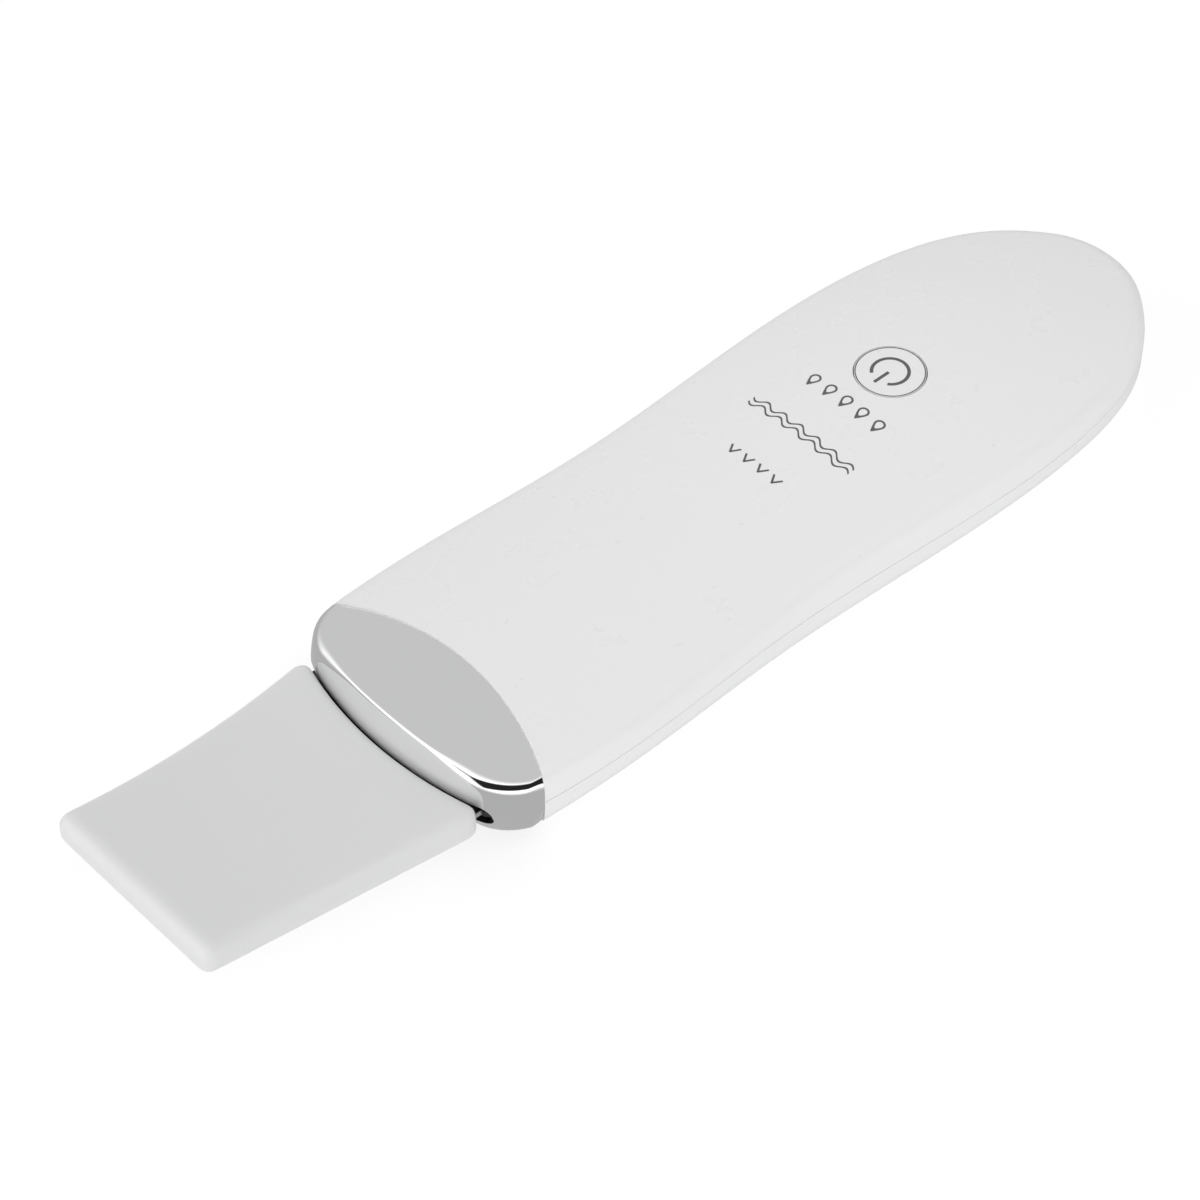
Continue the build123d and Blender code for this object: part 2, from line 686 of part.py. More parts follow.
battery_y = (-BATTERY_HALF, BATTERY_HALF)
battery_base = FLOOR_Z + FOAM
battery_top = battery_base + BATTERY_THICKNESS
with BuildPart() as battery_cell:
    add(block(BATTERY_X, battery_y, (battery_base, battery_top)))
    fillet(battery_cell.edges().filter_by(Axis.X), BATTERY_EDGE_R)
save(battery_cell.part, "battery_cell")

with BuildPart() as battery_foam:
    pad_x = (BATTERY_X[0] + FOAM_INSET, BATTERY_X[1] - FOAM_INSET)
    add(block(pad_x, (-FOAM_HALF, FOAM_HALF), (FLOOR_Z, battery_base)))
save(battery_foam.part, "battery_foam")

with BuildPart() as mode_lights:
    for x in MODE_X:
        x_range = (x - LIGHT[0] / 2, x + LIGHT[0] / 2)
        add(block(x_range, (-LIGHT[1] / 2, LIGHT[1] / 2), (board_top, board_top + LIGHT[2])))
save(mode_lights.part, "mode_lights")

with BuildPart() as driver_chips:
    for x, y, length, width in DRIVER_CHIPS:
        x_range = (x - length / 2, x + length / 2)
        y_range = (y - width / 2, y + width / 2)
        add(block(x_range, y_range, (board_top, board_top + CHIP_HEIGHT)))
save(driver_chips.part, "driver_chips")

coil_base = BOARD_Z - COIL_HEIGHT
with BuildPart() as coil_core:
    add(post(COIL_X, 0.0, COIL_R, coil_base, coil_base + COIL_CHEEK))
    add(post(COIL_X, 0.0, COIL_CORE_R, coil_base, BOARD_Z))
    add(post(COIL_X, 0.0, COIL_R, BOARD_Z - COIL_CHEEK, BOARD_Z))
save(coil_core.part, "coil_core")

with BuildPart() as coil_winding:
    winding_r = COIL_R - CHEEK_RIM
    add(post(COIL_X, 0.0, winding_r, coil_base + COIL_CHEEK, BOARD_Z - COIL_CHEEK))
    add(post(COIL_X, 0.0, COIL_CORE_R, coil_base, BOARD_Z), mode=Mode.SUBTRACT)
save(coil_winding.part, "coil_winding")

socket_length = SOCKET_X[1] - SOCKET_X[0]
with BuildPart() as charging_socket:
    with BuildSketch(Plane.YZ.offset(SOCKET_X[0])):
        with Locations((0, SEAM_Z)):
            RectangleRounded(SOCKET_WIDTH, SOCKET_HEIGHT, SOCKET_HEIGHT / 2 - SOCKET_FLAT)
    extrude(amount=socket_length)
    with BuildSketch(Plane.YZ.offset(SOCKET_X[0] + SOCKET_BACK)):
        with Locations((0, SEAM_Z)):
            inner_height = SOCKET_HEIGHT - 2 * SOCKET_SHEET
            inner_width = SOCKET_WIDTH - 2 * SOCKET_SHEET
            RectangleRounded(inner_width, inner_height, inner_height / 2 - SOCKET_FLAT)
    extrude(amount=socket_length, mode=Mode.SUBTRACT)
save(charging_socket.part, "charging_socket")

with BuildPart() as socket_tongue:
    tongue_x = (SOCKET_X[0] + SOCKET_BACK, SOCKET_X[1] - TONGUE_SETBACK)
    tongue_y = (-TONGUE[0] / 2, TONGUE[0] / 2)
    add(block(tongue_x, tongue_y, (SEAM_Z - TONGUE[1] / 2, SEAM_Z + TONGUE[1] / 2)))
save(socket_tongue.part, "socket_tongue")

# ---------------------------------------------------------------- button and switch
with BuildPart() as power_button:
    add(post(BUTTON_X, 0.0, BUTTON_R, BUTTON_FLANGE[0], 3 * SEAM_Z))
    add(outside, mode=Mode.INTERSECT)
    add(post(BUTTON_X, 0.0, BUTTON_FLANGE_R, *BUTTON_FLANGE))
    add(post(BUTTON_X, 0.0, STEM_R, PLUNGER[1] + PLUNGER_PLAY, BUTTON_FLANGE[0]))
save(power_button.part, "power_button")

half_side = SWITCH_SIDE / 2
with BuildPart() as switch_body:
    x_range = (BUTTON_X - half_side, BUTTON_X + half_side)
    add(block(x_range, (-half_side, half_side), (board_top, SWITCH_TOP)))
    plunger_hole = PLUNGER_R + PLUNGER_PLAY
    hole_bottom = PLUNGER[0] - BUTTON_TRAVEL - PLUNGER_PLAY
    add(post(BUTTON_X, 0.0, plunger_hole, hole_bottom, SWITCH_TOP), mode=Mode.SUBTRACT)
save(switch_body.part, "switch_body")

with BuildPart() as switch_plunger:
    add(post(BUTTON_X, 0.0, PLUNGER_R, *PLUNGER))
save(switch_plunger.part, "switch_plunger")

# ---------------------------------------------------------------- hand contact
with BuildPart() as contact_plate:
    with BuildSketch(Plane.XY):
        with Locations((plate_centre, 0)):
            SlotOverall(plate_length, 2 * PLATE_HALF)
    extrude(amount=PLATE)
save(contact_plate.part, "contact_plate")

with BuildPart() as contact_pin:
    add(post(PIN_X, 0.0, PIN_R, PLATE, FLOOR_Z + 4.0))
    add(post(PIN_X, 0.0, PIN_R - 0.3, FLOOR_Z + 4.0, BOARD_Z))
save(contact_pin.part, "contact_pin")

# ---------------------------------------------------------------- leads
lead_y = STACK_R + 1.0
with BuildPart() as transducer_leads:
    for x, side in zip(shim_x, (1, -1)):
        route = [
            (x + SHIM, side * lead_y, SLOT_Z),
            (LEAD_END_X, side * lead_y, SLOT_Z),
            (LEAD_END_X, side * lead_y, BOARD_Z),
        ]
        add(wire(route, LEAD_RADIUS))
save(transducer_leads.part, "transducer_leads")

with BuildPart() as battery_leads:
    for side in (1, -1):
        lead_z = battery_base + BATTERY_THICKNESS / 2
        route = [
            (BATTERY_X[1], side * lead_y, lead_z),
            (BATTERY_X[1] + 3.0, side * lead_y, lead_z),
            (BATTERY_X[1] + 3.0, side * lead_y, BOARD_Z),
        ]
        add(wire(route, LEAD_RADIUS))
save(battery_leads.part, "battery_leads")
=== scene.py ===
"""Looks of an ultrasonic skin scrubber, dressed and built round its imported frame."""
import json
import logging
import math
from dataclasses import dataclass, replace
from enum import Enum

import bpy
from mathutils import Matrix, Vector
from mathutils.bvhtree import BVHTree


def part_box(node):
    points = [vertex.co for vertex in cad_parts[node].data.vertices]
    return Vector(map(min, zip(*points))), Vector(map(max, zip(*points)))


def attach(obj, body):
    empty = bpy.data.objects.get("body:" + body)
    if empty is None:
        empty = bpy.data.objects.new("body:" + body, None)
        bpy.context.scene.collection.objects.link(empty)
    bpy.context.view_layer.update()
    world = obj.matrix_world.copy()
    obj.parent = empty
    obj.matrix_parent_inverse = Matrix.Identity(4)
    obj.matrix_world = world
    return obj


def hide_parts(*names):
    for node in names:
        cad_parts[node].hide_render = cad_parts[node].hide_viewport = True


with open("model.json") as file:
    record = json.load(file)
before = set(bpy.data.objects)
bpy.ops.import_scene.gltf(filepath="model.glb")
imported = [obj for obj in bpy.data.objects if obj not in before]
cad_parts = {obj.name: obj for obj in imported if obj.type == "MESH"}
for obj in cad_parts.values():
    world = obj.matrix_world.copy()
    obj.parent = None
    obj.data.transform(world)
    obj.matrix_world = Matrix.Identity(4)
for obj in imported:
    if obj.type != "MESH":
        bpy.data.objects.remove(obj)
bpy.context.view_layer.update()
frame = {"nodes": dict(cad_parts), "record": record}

LOG = logging.getLogger("scrubber")
MM = 0.001
DOWN = Vector((0, 0, -1))

# Octaves of a finish's fine and broad patterns, and how much larger the broad one is.
FINE_DETAIL = 4.0
BROAD_DETAIL = 2.0
BROAD_RATIO = 30.0
# Range that nearly all of a noise pattern lies in.
NOISE_REACH = (0.25, 0.75)
LEAST_ROUGHNESS = 0.02
# How far red, green and blue light travel inside a soft piece, against each other.
SCATTER_TINT = (1.0, 0.95, 0.9)
# Corners nearer than this are one corner, on a carried-over node and on a new shape.
NODE_MERGE = 0.001 * MM
SHAPE_MERGE = 0.0004 * MM
# How much narrower the cap is at its tip, on each side, and how far its bow draws back.
CAP_TAPER = 2.9 * MM
CAP_BOW = 2.6 * MM
# How far inside the row of lights the first and last marks are, and the printed ring's radius.
MARK_INSET = 0.4 * MM
PRINT_RADIUS = 4.85 * MM

Colour = tuple[float, float, float]
Point = tuple[float, float, float]
Span = tuple[float, float]
Tree = bpy.types.NodeTree
Socket = bpy.types.NodeSocket


class Body(str, Enum):
    """The rigid bodies that new pieces ride on."""

    HANDLE = "handle"
    CAP = "cap"
    BUTTON = "button"


class Grain(Enum):
    """How the fine detail of a finish runs: the stretch of its pattern along X, Y and Z."""

    EVEN = (1.0, 1.0, 1.0)
    ALONG_HANDLE = (0.04, 1.0, 1.0)
    ROUND_AXIS = (1.0, 0.12, 0.12)
    UPRIGHT = (1.0, 1.0, 0.1)


class Step(Enum):
    """Steps of arithmetic in a finish."""

    SIZE = "ABSOLUTE"
    TIMES = "MULTIPLY"
    TIMES_PLUS = "MULTIPLY_ADD"
    LESS = "SUBTRACT"
    LEAST = "MINIMUM"


class Fade(Enum):
    """How a ramp runs between its ends."""

    STRAIGHT = "LINEAR"
    SMOOTH = "SMOOTHSTEP"


class Blend(Enum):
    """What a blend is made of."""

    NUMBERS = "FLOAT"
    COLOURS = "RGBA"


class Tool(Enum):
    """Modifiers that finish a piece."""

    THICKEN = "SOLIDIFY"
    CUT = "BOOLEAN"
    REMESH = "REMESH"
    SMOOTH = "SMOOTH"


# ---------------------------------------------------------------- node help
def feed(tree: Tree, slot: Socket, value: Socket | tuple[float, ...] | float) -> None:
    """Give a socket a value, or link another node's result to it.

    Args:
        tree: the nodes.
        slot: the socket that is fed.
        value: a number, a colour or a socket.
    """
    if isinstance(value, Socket):
        tree.links.new(value, slot)
    else:
        slot.default_value = value


def arithmetic(tree: Tree, step: Step, *values: Socket | float) -> Socket:
    """Add one step of arithmetic.

    Args:
        tree: the nodes.
        step: what the step does.
        values: sockets or numbers that it works on.

    Returns:
        The socket that carries the result.
    """
    node = tree.nodes.new("ShaderNodeMath")
    node.operation = step.value
    for slot, value in zip(node.inputs, values):
        feed(tree, slot, value)
    return node.outputs[0]


def ramp(
    tree: Tree, value: Socket, reach: Span, ends: Span = (0.0, 1.0), fade: Fade = Fade.SMOOTH
) -> Socket:
    """Map a value from one range to another, and hold it at the ends.

    Args:
        tree: the nodes.
        value: the value.
        reach: range that the value is taken from.
        ends: range that it is mapped to.
        fade: how it runs between the ends.

    Returns:
        The socket that carries the result.
    """
    node = tree.nodes.new("ShaderNodeMapRange")
    node.interpolation_type = fade.value
    for slot, end in zip(("From Min", "From Max", "To Min", "To Max"), (*reach, *ends)):
        node.inputs[slot].default_value = end
    feed(tree, node.inputs["Value"], value)
    return node.outputs["Result"]


def blended(
    tree: Tree,
    share: Socket,
    one: Socket | tuple[float, ...] | float,
    other: Socket | tuple[float, ...] | float,
    blend: Blend = Blend.NUMBERS,
) -> Socket:
    """Blend two numbers or colours.

    Args:
        tree: the nodes.
        share: how much of the other there is.
        one: what the blend is at 0.
        other: what the blend is at 1.
        blend: whether they are numbers or colours.

    Returns:
        The socket that carries the blend.
    """
    node = tree.nodes.new("ShaderNodeMix")
    node.data_type = blend.value
    feed(tree, node.inputs["Factor"], share)
    feed(tree, node.inputs["A"], one)
    feed(tree, node.inputs["B"], other)
    return node.outputs["Result"]


# ---------------------------------------------------------------- finishes
@dataclass(frozen=True)
class Finish:
    """A procedural finish with a fine pattern in its colour, gloss and relief.

    Args:
        name: name of the material.
        colour: base colour, linear.
        roughness: middle of the roughness.
        metallic: 1 for bare metal.
        grain: direction of the pattern.
        grain_size: size of the pattern in metres.
        gloss_spread: how far the roughness wanders either way.
        tint: how far the colour darkens in the pattern.
        relief: height of the bump in metres.
        coat: weight of a clear coat.
        subsurface: weight of the light scattered inside.
        scatter: distance that scattered light travels, in metres.
        glow: strength of a light of its own.
    """

    name: str
    colour: Colour
    roughness: float = 0.35
    metallic: float = 0.0
    grain: Grain = Grain.EVEN
    grain_size: float = 0.5 * MM
    gloss_spread: float = 0.04
    tint: float = 0.03
    relief: float = 0.002 * MM
    coat: float = 0.0
    subsurface: float = 0.0
    scatter: float = 1.0 * MM
    glow: float = 0.0

    def build(self) -> bpy.types.Material:
        """Make the material.

        Returns:
            The finished material.
        """
        material = bpy.data.materials.new(self.name)
        material.use_nodes = True
        tree = material.node_tree
        shader = tree.nodes["Principled BSDF"]
        shader.inputs["Metallic"].default_value = self.metallic
        shader.inputs["Coat Weight"].default_value = self.coat
        shader.inputs["Subsurface Weight"].default_value = self.subsurface
        shader.inputs["Subsurface Radius"].default_value = SCATTER_TINT
        shader.inputs["Subsurface Scale"].default_value = self.scatter
        shader.inputs["Emission Strength"].default_value = self.glow
        fine = self.pattern(tree, self.grain_size, FINE_DETAIL)
        broad = self.pattern(tree, self.grain_size * BROAD_RATIO, BROAD_DETAIL)
        feed(tree, shader.inputs["Roughness"], self.gloss(tree, fine, broad))
        feed(tree, shader.inputs["Base Color"], self.shade(tree, fine, broad))
        bump = tree.nodes.new("ShaderNodeBump")
        bump.inputs["Distance"].default_value = self.relief
        feed(tree, bump.inputs["Height"], fine)
        feed(tree, shader.inputs["Normal"], bump.outputs["Normal"])
        return material

    def pattern(self, tree: Tree, size: float, detail: float) -> Socket:
        """Add a noise pattern that runs with the grain.

        Args:
            tree: the material's nodes.
            size: size of the pattern in metres.
            detail: octaves of noise.

        Returns:
            The socket that carries the pattern, from 0 to 1.
        """
        place = tree.nodes.new("ShaderNodeTexCoord")
        stretch = tree.nodes.new("ShaderNodeMapping")
        stretch.inputs["Scale"].default_value = [part / size for part in self.grain.value]
        noise = tree.nodes.new("ShaderNodeTexNoise")
        noise.inputs["Scale"].default_value = 1.0
        noise.inputs["Detail"].default_value = detail
        feed(tree, stretch.inputs["Vector"], place.outputs["Object"])
        feed(tree, noise.inputs["Vector"], stretch.outputs["Vector"])
        return noise.outputs["Fac"]

    def gloss(self, tree: Tree, fine: Socket, broad: Socket) -> Socket:
        """Roughness that wanders with both patterns.

        Args:
            tree: the material's nodes.
            fine: the fine pattern.
            broad: the broad pattern.

        Returns:
            The socket that carries the roughness.
        """
        least = max(self.roughness - self.gloss_spread, LEAST_ROUGHNESS)
        ends = (least, self.roughness + self.gloss_spread)
        return ramp(tree, self.mean(tree, fine, broad), NOISE_REACH, ends, Fade.STRAIGHT)

    def shade(self, tree: Tree, fine: Socket, broad: Socket) -> Socket:
        """Colour that darkens a little in the patterns.

        Args:
            tree: the material's nodes.
            fine: the fine pattern.
            broad: the broad pattern.

        Returns:
            The socket that carries the colour.
        """
        dark = (*(part * (1.0 - self.tint) for part in self.colour), 1.0)
        share = self.mean(tree, fine, broad)
        return blended(tree, share, (*self.colour, 1.0), dark, Blend.COLOURS)

    def mean(self, tree: Tree, one: Socket, other: Socket) -> Socket:
        """Middle of two patterns.

        Args:
            tree: the material's nodes.
            one: a pattern.
            other: another pattern.

        Returns:
            The socket that carries their mean.
        """
        half = arithmetic(tree, Step.TIMES, other, 0.5)
        return arithmetic(tree, Step.TIMES_PLUS, one, 0.5, half)


@dataclass(frozen=True)
class Silicone(Finish):
    """Milky silicone with a painted rim tone: along the rim, where no steel lies inside, its
    colour is painted a shade darker than the middle, as painted shade that damps the light the
    rim catches.

    Args:
        painted_rim_shade: painted shade of the rim, linear, a little darker than the middle.
        tip_x: front edge of the cap.
        back_x: back edge of the cap on the middle line.
        tip_half: half width at the front edge.
        back_half: half width at the back edge.
        rim: distances from the outline where the rim's painted shade starts and stops to fade.
    """

    painted_rim_shade: Colour = (0.80, 0.80, 0.80)
    tip_x: float = 0.0
    back_x: float = 0.0
    tip_half: float = 0.0
    back_half: float = 0.0
    rim: Span = (0.8 * MM, 5.2 * MM)

    def shade(self, tree: Tree, fine: Socket, broad: Socket) -> Socket:
        """Colour that runs from the painted shade of the rim to the middle.

        Args:
            tree: the material's nodes.
            fine: the fine pattern.
            broad: the broad pattern.

        Returns:
            The socket that carries the colour.
        """
        place = tree.nodes.new("ShaderNodeTexCoord")
        parts = tree.nodes.new("ShaderNodeSeparateXYZ")
        feed(tree, parts.inputs[0], place.outputs["Object"])
        along, across = parts.outputs["X"], parts.outputs["Y"]
        slope = (self.back_half - self.tip_half) / (self.back_x - self.tip_x)
        start = self.tip_half - slope * self.tip_x
        half = arithmetic(tree, Step.TIMES_PLUS, along, slope, start)
        side = arithmetic(tree, Step.LESS, half, arithmetic(tree, Step.SIZE, across))
        front = arithmetic(tree, Step.LESS, along, self.tip_x)
        back = arithmetic(tree, Step.LESS, self.back_x, along)
        ends = arithmetic(tree, Step.LEAST, front, back)
        # Share of the middle colour: 0 at the outline, where the rim's painted shade is, up to 1
        # inside.
        depth = ramp(tree, arithmetic(tree, Step.LEAST, side, ends), self.rim)
        middle = super().shade(tree, fine, broad)
        return blended(tree, depth, (*self.painted_rim_shade, 1.0), middle, Blend.COLOURS)


# ---------------------------------------------------------------- mesh help
def only(piece: bpy.types.Object) -> None:
    """Make a piece the one that operators act on.

    Args:
        piece: the piece.
    """
    bpy.ops.object.select_all(action="DESELECT")
    piece.select_set(True)
    bpy.context.view_layer.objects.active = piece


def made(name: str) -> bpy.types.Object:
    """Name the object that an operator has just added.

    Args:
        name: the piece's name.

    Returns:
        The piece.
    """
    piece = bpy.context.object
    piece.name = name
    piece.data.name = name
    return piece


def settle(piece: bpy.types.Object) -> None:
    """Put a piece's place, turn and size into its mesh.

    Args:
        piece: the piece.
    """
    only(piece)
    bpy.ops.object.transform_apply(location=True, rotation=True, scale=True)


def face_out(piece: bpy.types.Object) -> None:
    """Turn all of a piece's faces outwards.

    Args:
        piece: the piece.
    """
    only(piece)
    bpy.ops.object.mode_set(mode="EDIT")
    bpy.ops.mesh.select_all(action="SELECT")
    bpy.ops.mesh.normals_make_consistent(inside=False)
    bpy.ops.object.mode_set(mode="OBJECT")


def use(tool: Tool, piece: bpy.types.Object, **settings: object) -> None:
    """Add a modifier to a piece and apply it.

    Args:
        tool: the modifier.
        piece: the piece.
        settings: the modifier's settings.
    """
    only(piece)
    modifier = piece.modifiers.new(tool.name.lower(), tool.value)
    for name, value in settings.items():
        setattr(modifier, name, value)
    bpy.ops.object.modifier_apply(modifier=modifier.name)


def dress(piece: bpy.types.Object, material: bpy.types.Material) -> None:
    """Give a piece one material.

    Args:
        piece: the piece.
        material: its material.
    """
    if len(piece.material_slots) == 0:
        piece.data.materials.append(material)
    for slot in piece.material_slots:
        slot.material = material


def smooth_step(value: float, start: float, end: float) -> float:
    """Smooth step from 0 at the start to 1 at the end.

    Args:
        value: the value.
        start: where the step starts.
        end: where the step ends.

    Returns:
        The step's height.
    """
    share = min(max((value - start) / (end - start), 0.0), 1.0)
    return share * share * (3.0 - 2.0 * share)


# ---------------------------------------------------------------- studio
@dataclass
class Studio:
    """Floor, soft light and camera.

    Args:
        azimuth: bearing that the camera looks from, in degrees.
        elevation: height of the camera over the horizon, in degrees.
        roll: turn about the line of sight, in degrees.
        place: where the camera stands.
        lens: focal length in millimetres.
        sensor: width of the sensor in millimetres.
        nearest: nearest distance that the camera sees.
        floor_size: side of the floor.
        floor_drop: gap between the object and the floor.
        paper: colour of the floor.
        paper_glow: the floor's own light, which keeps it white.
        sky: strength of the dome.
        under: strength of the dome's lower half.
        horizon: cosines, from straight down, where the lower half starts and is full.
        grey_card: strength of the patch behind the object, which the plating mirrors.
        grey_reach: cosines where the grey patch starts and is full.
        box_place: where the soft box hangs.
        box_size: side of the soft box.
        box_power: the soft box's power in watts.
        flag_light: strength of the dark strip.
        flag_centre: direction of the dark strip's middle.
        flag_pole: pole that the dark strip is square to.
        flag_reach: cosines, from the strip's middle, where it starts and is full.
        flag_width: cosines, from the strip's pole, where it starts and is full.
    """

    azimuth: float = -42.70
    elevation: float = 46.44
    roll: float = 0.48
    place: Point = (-242.9 * MM, -252.1 * MM, 368.9 * MM)
    lens: float = 116.6
    sensor: float = 36.0
    nearest: float = 0.01
    floor_size: float = 6.0
    floor_drop: float = 0.05 * MM
    paper: Colour = (0.25, 0.25, 0.25)
    paper_glow: float = 0.78
    sky: float = 1.80
    under: float = 0.50
    horizon: Span = (-0.42, 0.10)
    grey_card: float = 0.655
    grey_reach: Span = (0.20, 0.80)
    box_place: Point = (-0.05, -0.45, 0.60)
    box_size: float = 0.6
    box_power: float = 1.25
    flag_light: float = 0.02
    flag_centre: Point = (0.0, -0.707, 0.707)
    flag_pole: Point = (0.301, 0.674, 0.675)
    flag_reach: Span = (0.36, 0.52)
    flag_width: Span = (0.36, 0.24)

    def away(self) -> Vector:
        """Direction from the object to the camera.

        Returns:
            The direction, of length 1.
        """
        turn = math.radians(self.azimuth)
        lift = math.radians(self.elevation)
        level = math.cos(lift)
        return Vector((math.sin(turn) * level, -math.cos(turn) * level, math.sin(lift)))

    def build(self) -> None:
        """Set up the camera, the floor and the light."""
        self.camera()
        self.floor()
        self.dome()
        self.soft_box()
        bpy.context.scene.view_settings.view_transform = "Standard"

    def camera(self) -> None:
        """Stand the camera where it looks along the handle from the blade's side."""
        data = bpy.data.cameras.new("camera")
        data.sensor_width = self.sensor
        data.lens = self.lens
        data.clip_start = self.nearest
        item = bpy.data.objects.new("camera", data)
        bpy.context.scene.collection.objects.link(item)
        turn = math.radians(self.azimuth)
        lean = math.radians(self.roll)
        back = self.away()
        right = Vector((math.cos(turn), math.sin(turn), 0.0))
        up = back.cross(right)
        across = right * math.cos(lean) + up * math.sin(lean)
        top = up * math.cos(lean) - right * math.sin(lean)
        stand = Matrix((across, top, back)).transposed().to_4x4()
        stand.translation = Vector(self.place)
        item.matrix_world = stand
        bpy.context.scene.camera = item

    def floor(self) -> None:
        """Lay a plain pale floor just under the object."""
        bpy.ops.mesh.primitive_plane_add(size=self.floor_size, location=(0, 0, -self.floor_drop))
        plane = made("floor")
        paper = Finish(
            "floor_paper", self.paper, 0.9, grain_size=2 * MM, tint=0.004, glow=self.paper_glow
        )
        dress(plane, paper.build())
        plane.visible_glossy = False

    def soft_box(self) -> None:
        """Hang a large soft box over the near side, which the plating does not mirror."""
        data = bpy.data.lights.new("soft_box", "AREA")
        data.size = self.box_size
        data.energy = self.box_power
        item = bpy.data.objects.new("soft_box", data)
        bpy.context.scene.collection.objects.link(item)
        item.location = self.box_place
        item.rotation_euler = Vector(self.box_place).to_track_quat("Z", "Y").to_euler()
        item.visible_glossy = False

    def dome(self) -> None:
        """Light the scene with a white dome that has a grey card behind and a dark strip."""
        world = bpy.data.worlds.new("dome")
        bpy.context.scene.world = world
        world.use_nodes = True
        tree = world.node_tree
        light = tree.nodes["Background"]
        light.inputs["Color"].default_value = (1.0, 1.0, 1.0, 1.0)
        front = self.away()
        behind = Vector((-front.x, -front.y, front.z))
        card = ramp(tree, self.facing(tree, behind), self.grey_reach)
        length = ramp(tree, self.facing(tree, Vector(self.flag_centre)), self.flag_reach)
        off_pole = arithmetic(tree, Step.SIZE, self.facing(tree, Vector(self.flag_pole)))
        strip = arithmetic(tree, Step.TIMES, length, ramp(tree, off_pole, self.flag_width))
        low = ramp(tree, self.facing(tree, DOWN), self.horizon)
        level = blended(tree, card, self.sky, self.grey_card)
        level = blended(tree, strip, level, self.flag_light)
        level = blended(tree, low, level, self.under)
        feed(tree, light.inputs["Strength"], level)

    def facing(self, tree: Tree, centre: Vector) -> Socket:
        """How far the dome faces a direction.

        Args:
            tree: the dome's nodes.
            centre: the direction.

        Returns:
            The socket that carries the cosine of the angle between them.
        """
        place = tree.nodes.new("ShaderNodeTexCoord")
        toward = tree.nodes.new("ShaderNodeVectorMath")
        toward.operation = "DOT_PRODUCT"
        toward.inputs[1].default_value = centre
        feed(tree, toward.inputs[0], place.outputs["Generated"])
        return toward.outputs["Value"]


# ---------------------------------------------------------------- printed marks
@dataclass
class Printer:
    """Lays flat marks onto a node's upper surface as thin films of ink.

    Args:
        node: the CAD node that is printed on.
        body: the body that the marks ride on.
        ink: the ink's material.
        film: thickness of the ink.
        lift: gap that keeps the film clear of the surface.
        clearance: height over the node that a mark is dropped from.
    """

    node: str
    body: Body
    ink: bpy.types.Material
    film: float = 0.010 * MM
    lift: float = 0.005 * MM
    clearance: float = 1.0 * MM

    def lay(self, piece: bpy.types.Object) -> None:
        """Drop a flat piece onto the surface and make it a thin film.

        Args:
            piece: flat piece, over its place on the surface.
        """
        settle(piece)
        mesh = frame["nodes"][self.node].data
        corners = [vertex.co.copy() for vertex in mesh.vertices]
        faces = [tuple(face.vertices) for face in mesh.polygons]
        surface = BVHTree.FromPolygons(corners, faces)
        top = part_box(self.node)[1][2] + self.clearance
        for vertex in piece.data.vertices:
            start = Vector((vertex.co.x, vertex.co.y, top))
            hit = surface.ray_cast(start, DOWN)[0]
            if hit is not None:
                vertex.co.z = hit.z + self.lift
        face_out(piece)
        if piece.data.polygons[0].normal.z < 0:
            piece.data.flip_normals()
        use(Tool.THICKEN, piece, thickness=self.film, offset=1.0)
        dress(piece, self.ink)
        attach(piece, self.body.value)
        LOG.info("printed %s with %d faces", piece.name, len(piece.data.polygons))


def ring(
    name: str, centre: Point, radius: float, stroke: float, gap: float = 0.0, steps: int = 120
) -> bpy.types.Object:
    """Flat ring, open towards the blade where a gap is asked for.

    Args:
        name: the piece's name.
        centre: middle of the ring.
        radius: radius of the middle of its stroke.
        stroke: width of the stroke.
        gap: half angle of the opening, in degrees.
        steps: number of straight steps round the ring.

    Returns:
        The ring.
    """
    bpy.ops.object.select_all(action="DESELECT")
    bpy.ops.mesh.primitive_circle_add(
        vertices=steps, radius=radius - stroke / 2, location=centre, fill_type="NOTHING"
    )
    piece = made(name)
    bpy.ops.object.mode_set(mode="EDIT")
    bpy.ops.mesh.select_all(action="SELECT")
    grow = (radius + stroke / 2) / (radius - stroke / 2)
    bpy.ops.mesh.extrude_edges_move()
    bpy.ops.transform.resize(value=(grow, grow, 1.0))
    bpy.ops.object.mode_set(mode="OBJECT")
    opening = math.radians(gap)
    for face in piece.data.polygons:
        bearing = math.atan2(face.center.y, -face.center.x)
        face.select = abs(bearing) < opening
    if gap > 0.0:
        bpy.ops.object.mode_set(mode="EDIT")
        bpy.ops.mesh.delete(type="FACE")
        bpy.ops.object.mode_set(mode="OBJECT")
    return piece


def bar(name: str, start: Vector, end: Vector, stroke: float, cuts: int = 8) -> bpy.types.Object:
    """Flat straight stroke between two points.

    Args:
        name: the piece's name.
        start: middle of one end.
        end: middle of the other end.
        stroke: width of the stroke.
        cuts: divisions along it.

    Returns:
        The stroke.
    """
    along = end - start
    middle = (start + end) / 2
    turn = math.atan2(along.y, along.x)
    bpy.ops.object.select_all(action="DESELECT")
    bpy.ops.mesh.primitive_grid_add(
        x_subdivisions=cuts, y_subdivisions=1, size=1.0, location=middle, rotation=(0, 0, turn)
    )
    piece = made(name)
    piece.scale = (along.length, stroke, 1.0)
    return piece


def join(name: str, pieces: list[bpy.types.Object]) -> bpy.types.Object:
    """Join flat pieces into one.

    Args:
        name: name of the joined piece.
        pieces: the pieces, two or more.

    Returns:
        The joined piece.
    """
    bpy.ops.object.select_all(action="DESELECT")
    for piece in pieces:
        piece.select_set(True)
    bpy.context.view_layer.objects.active = pieces[0]
    bpy.ops.object.join()
    return made(name)


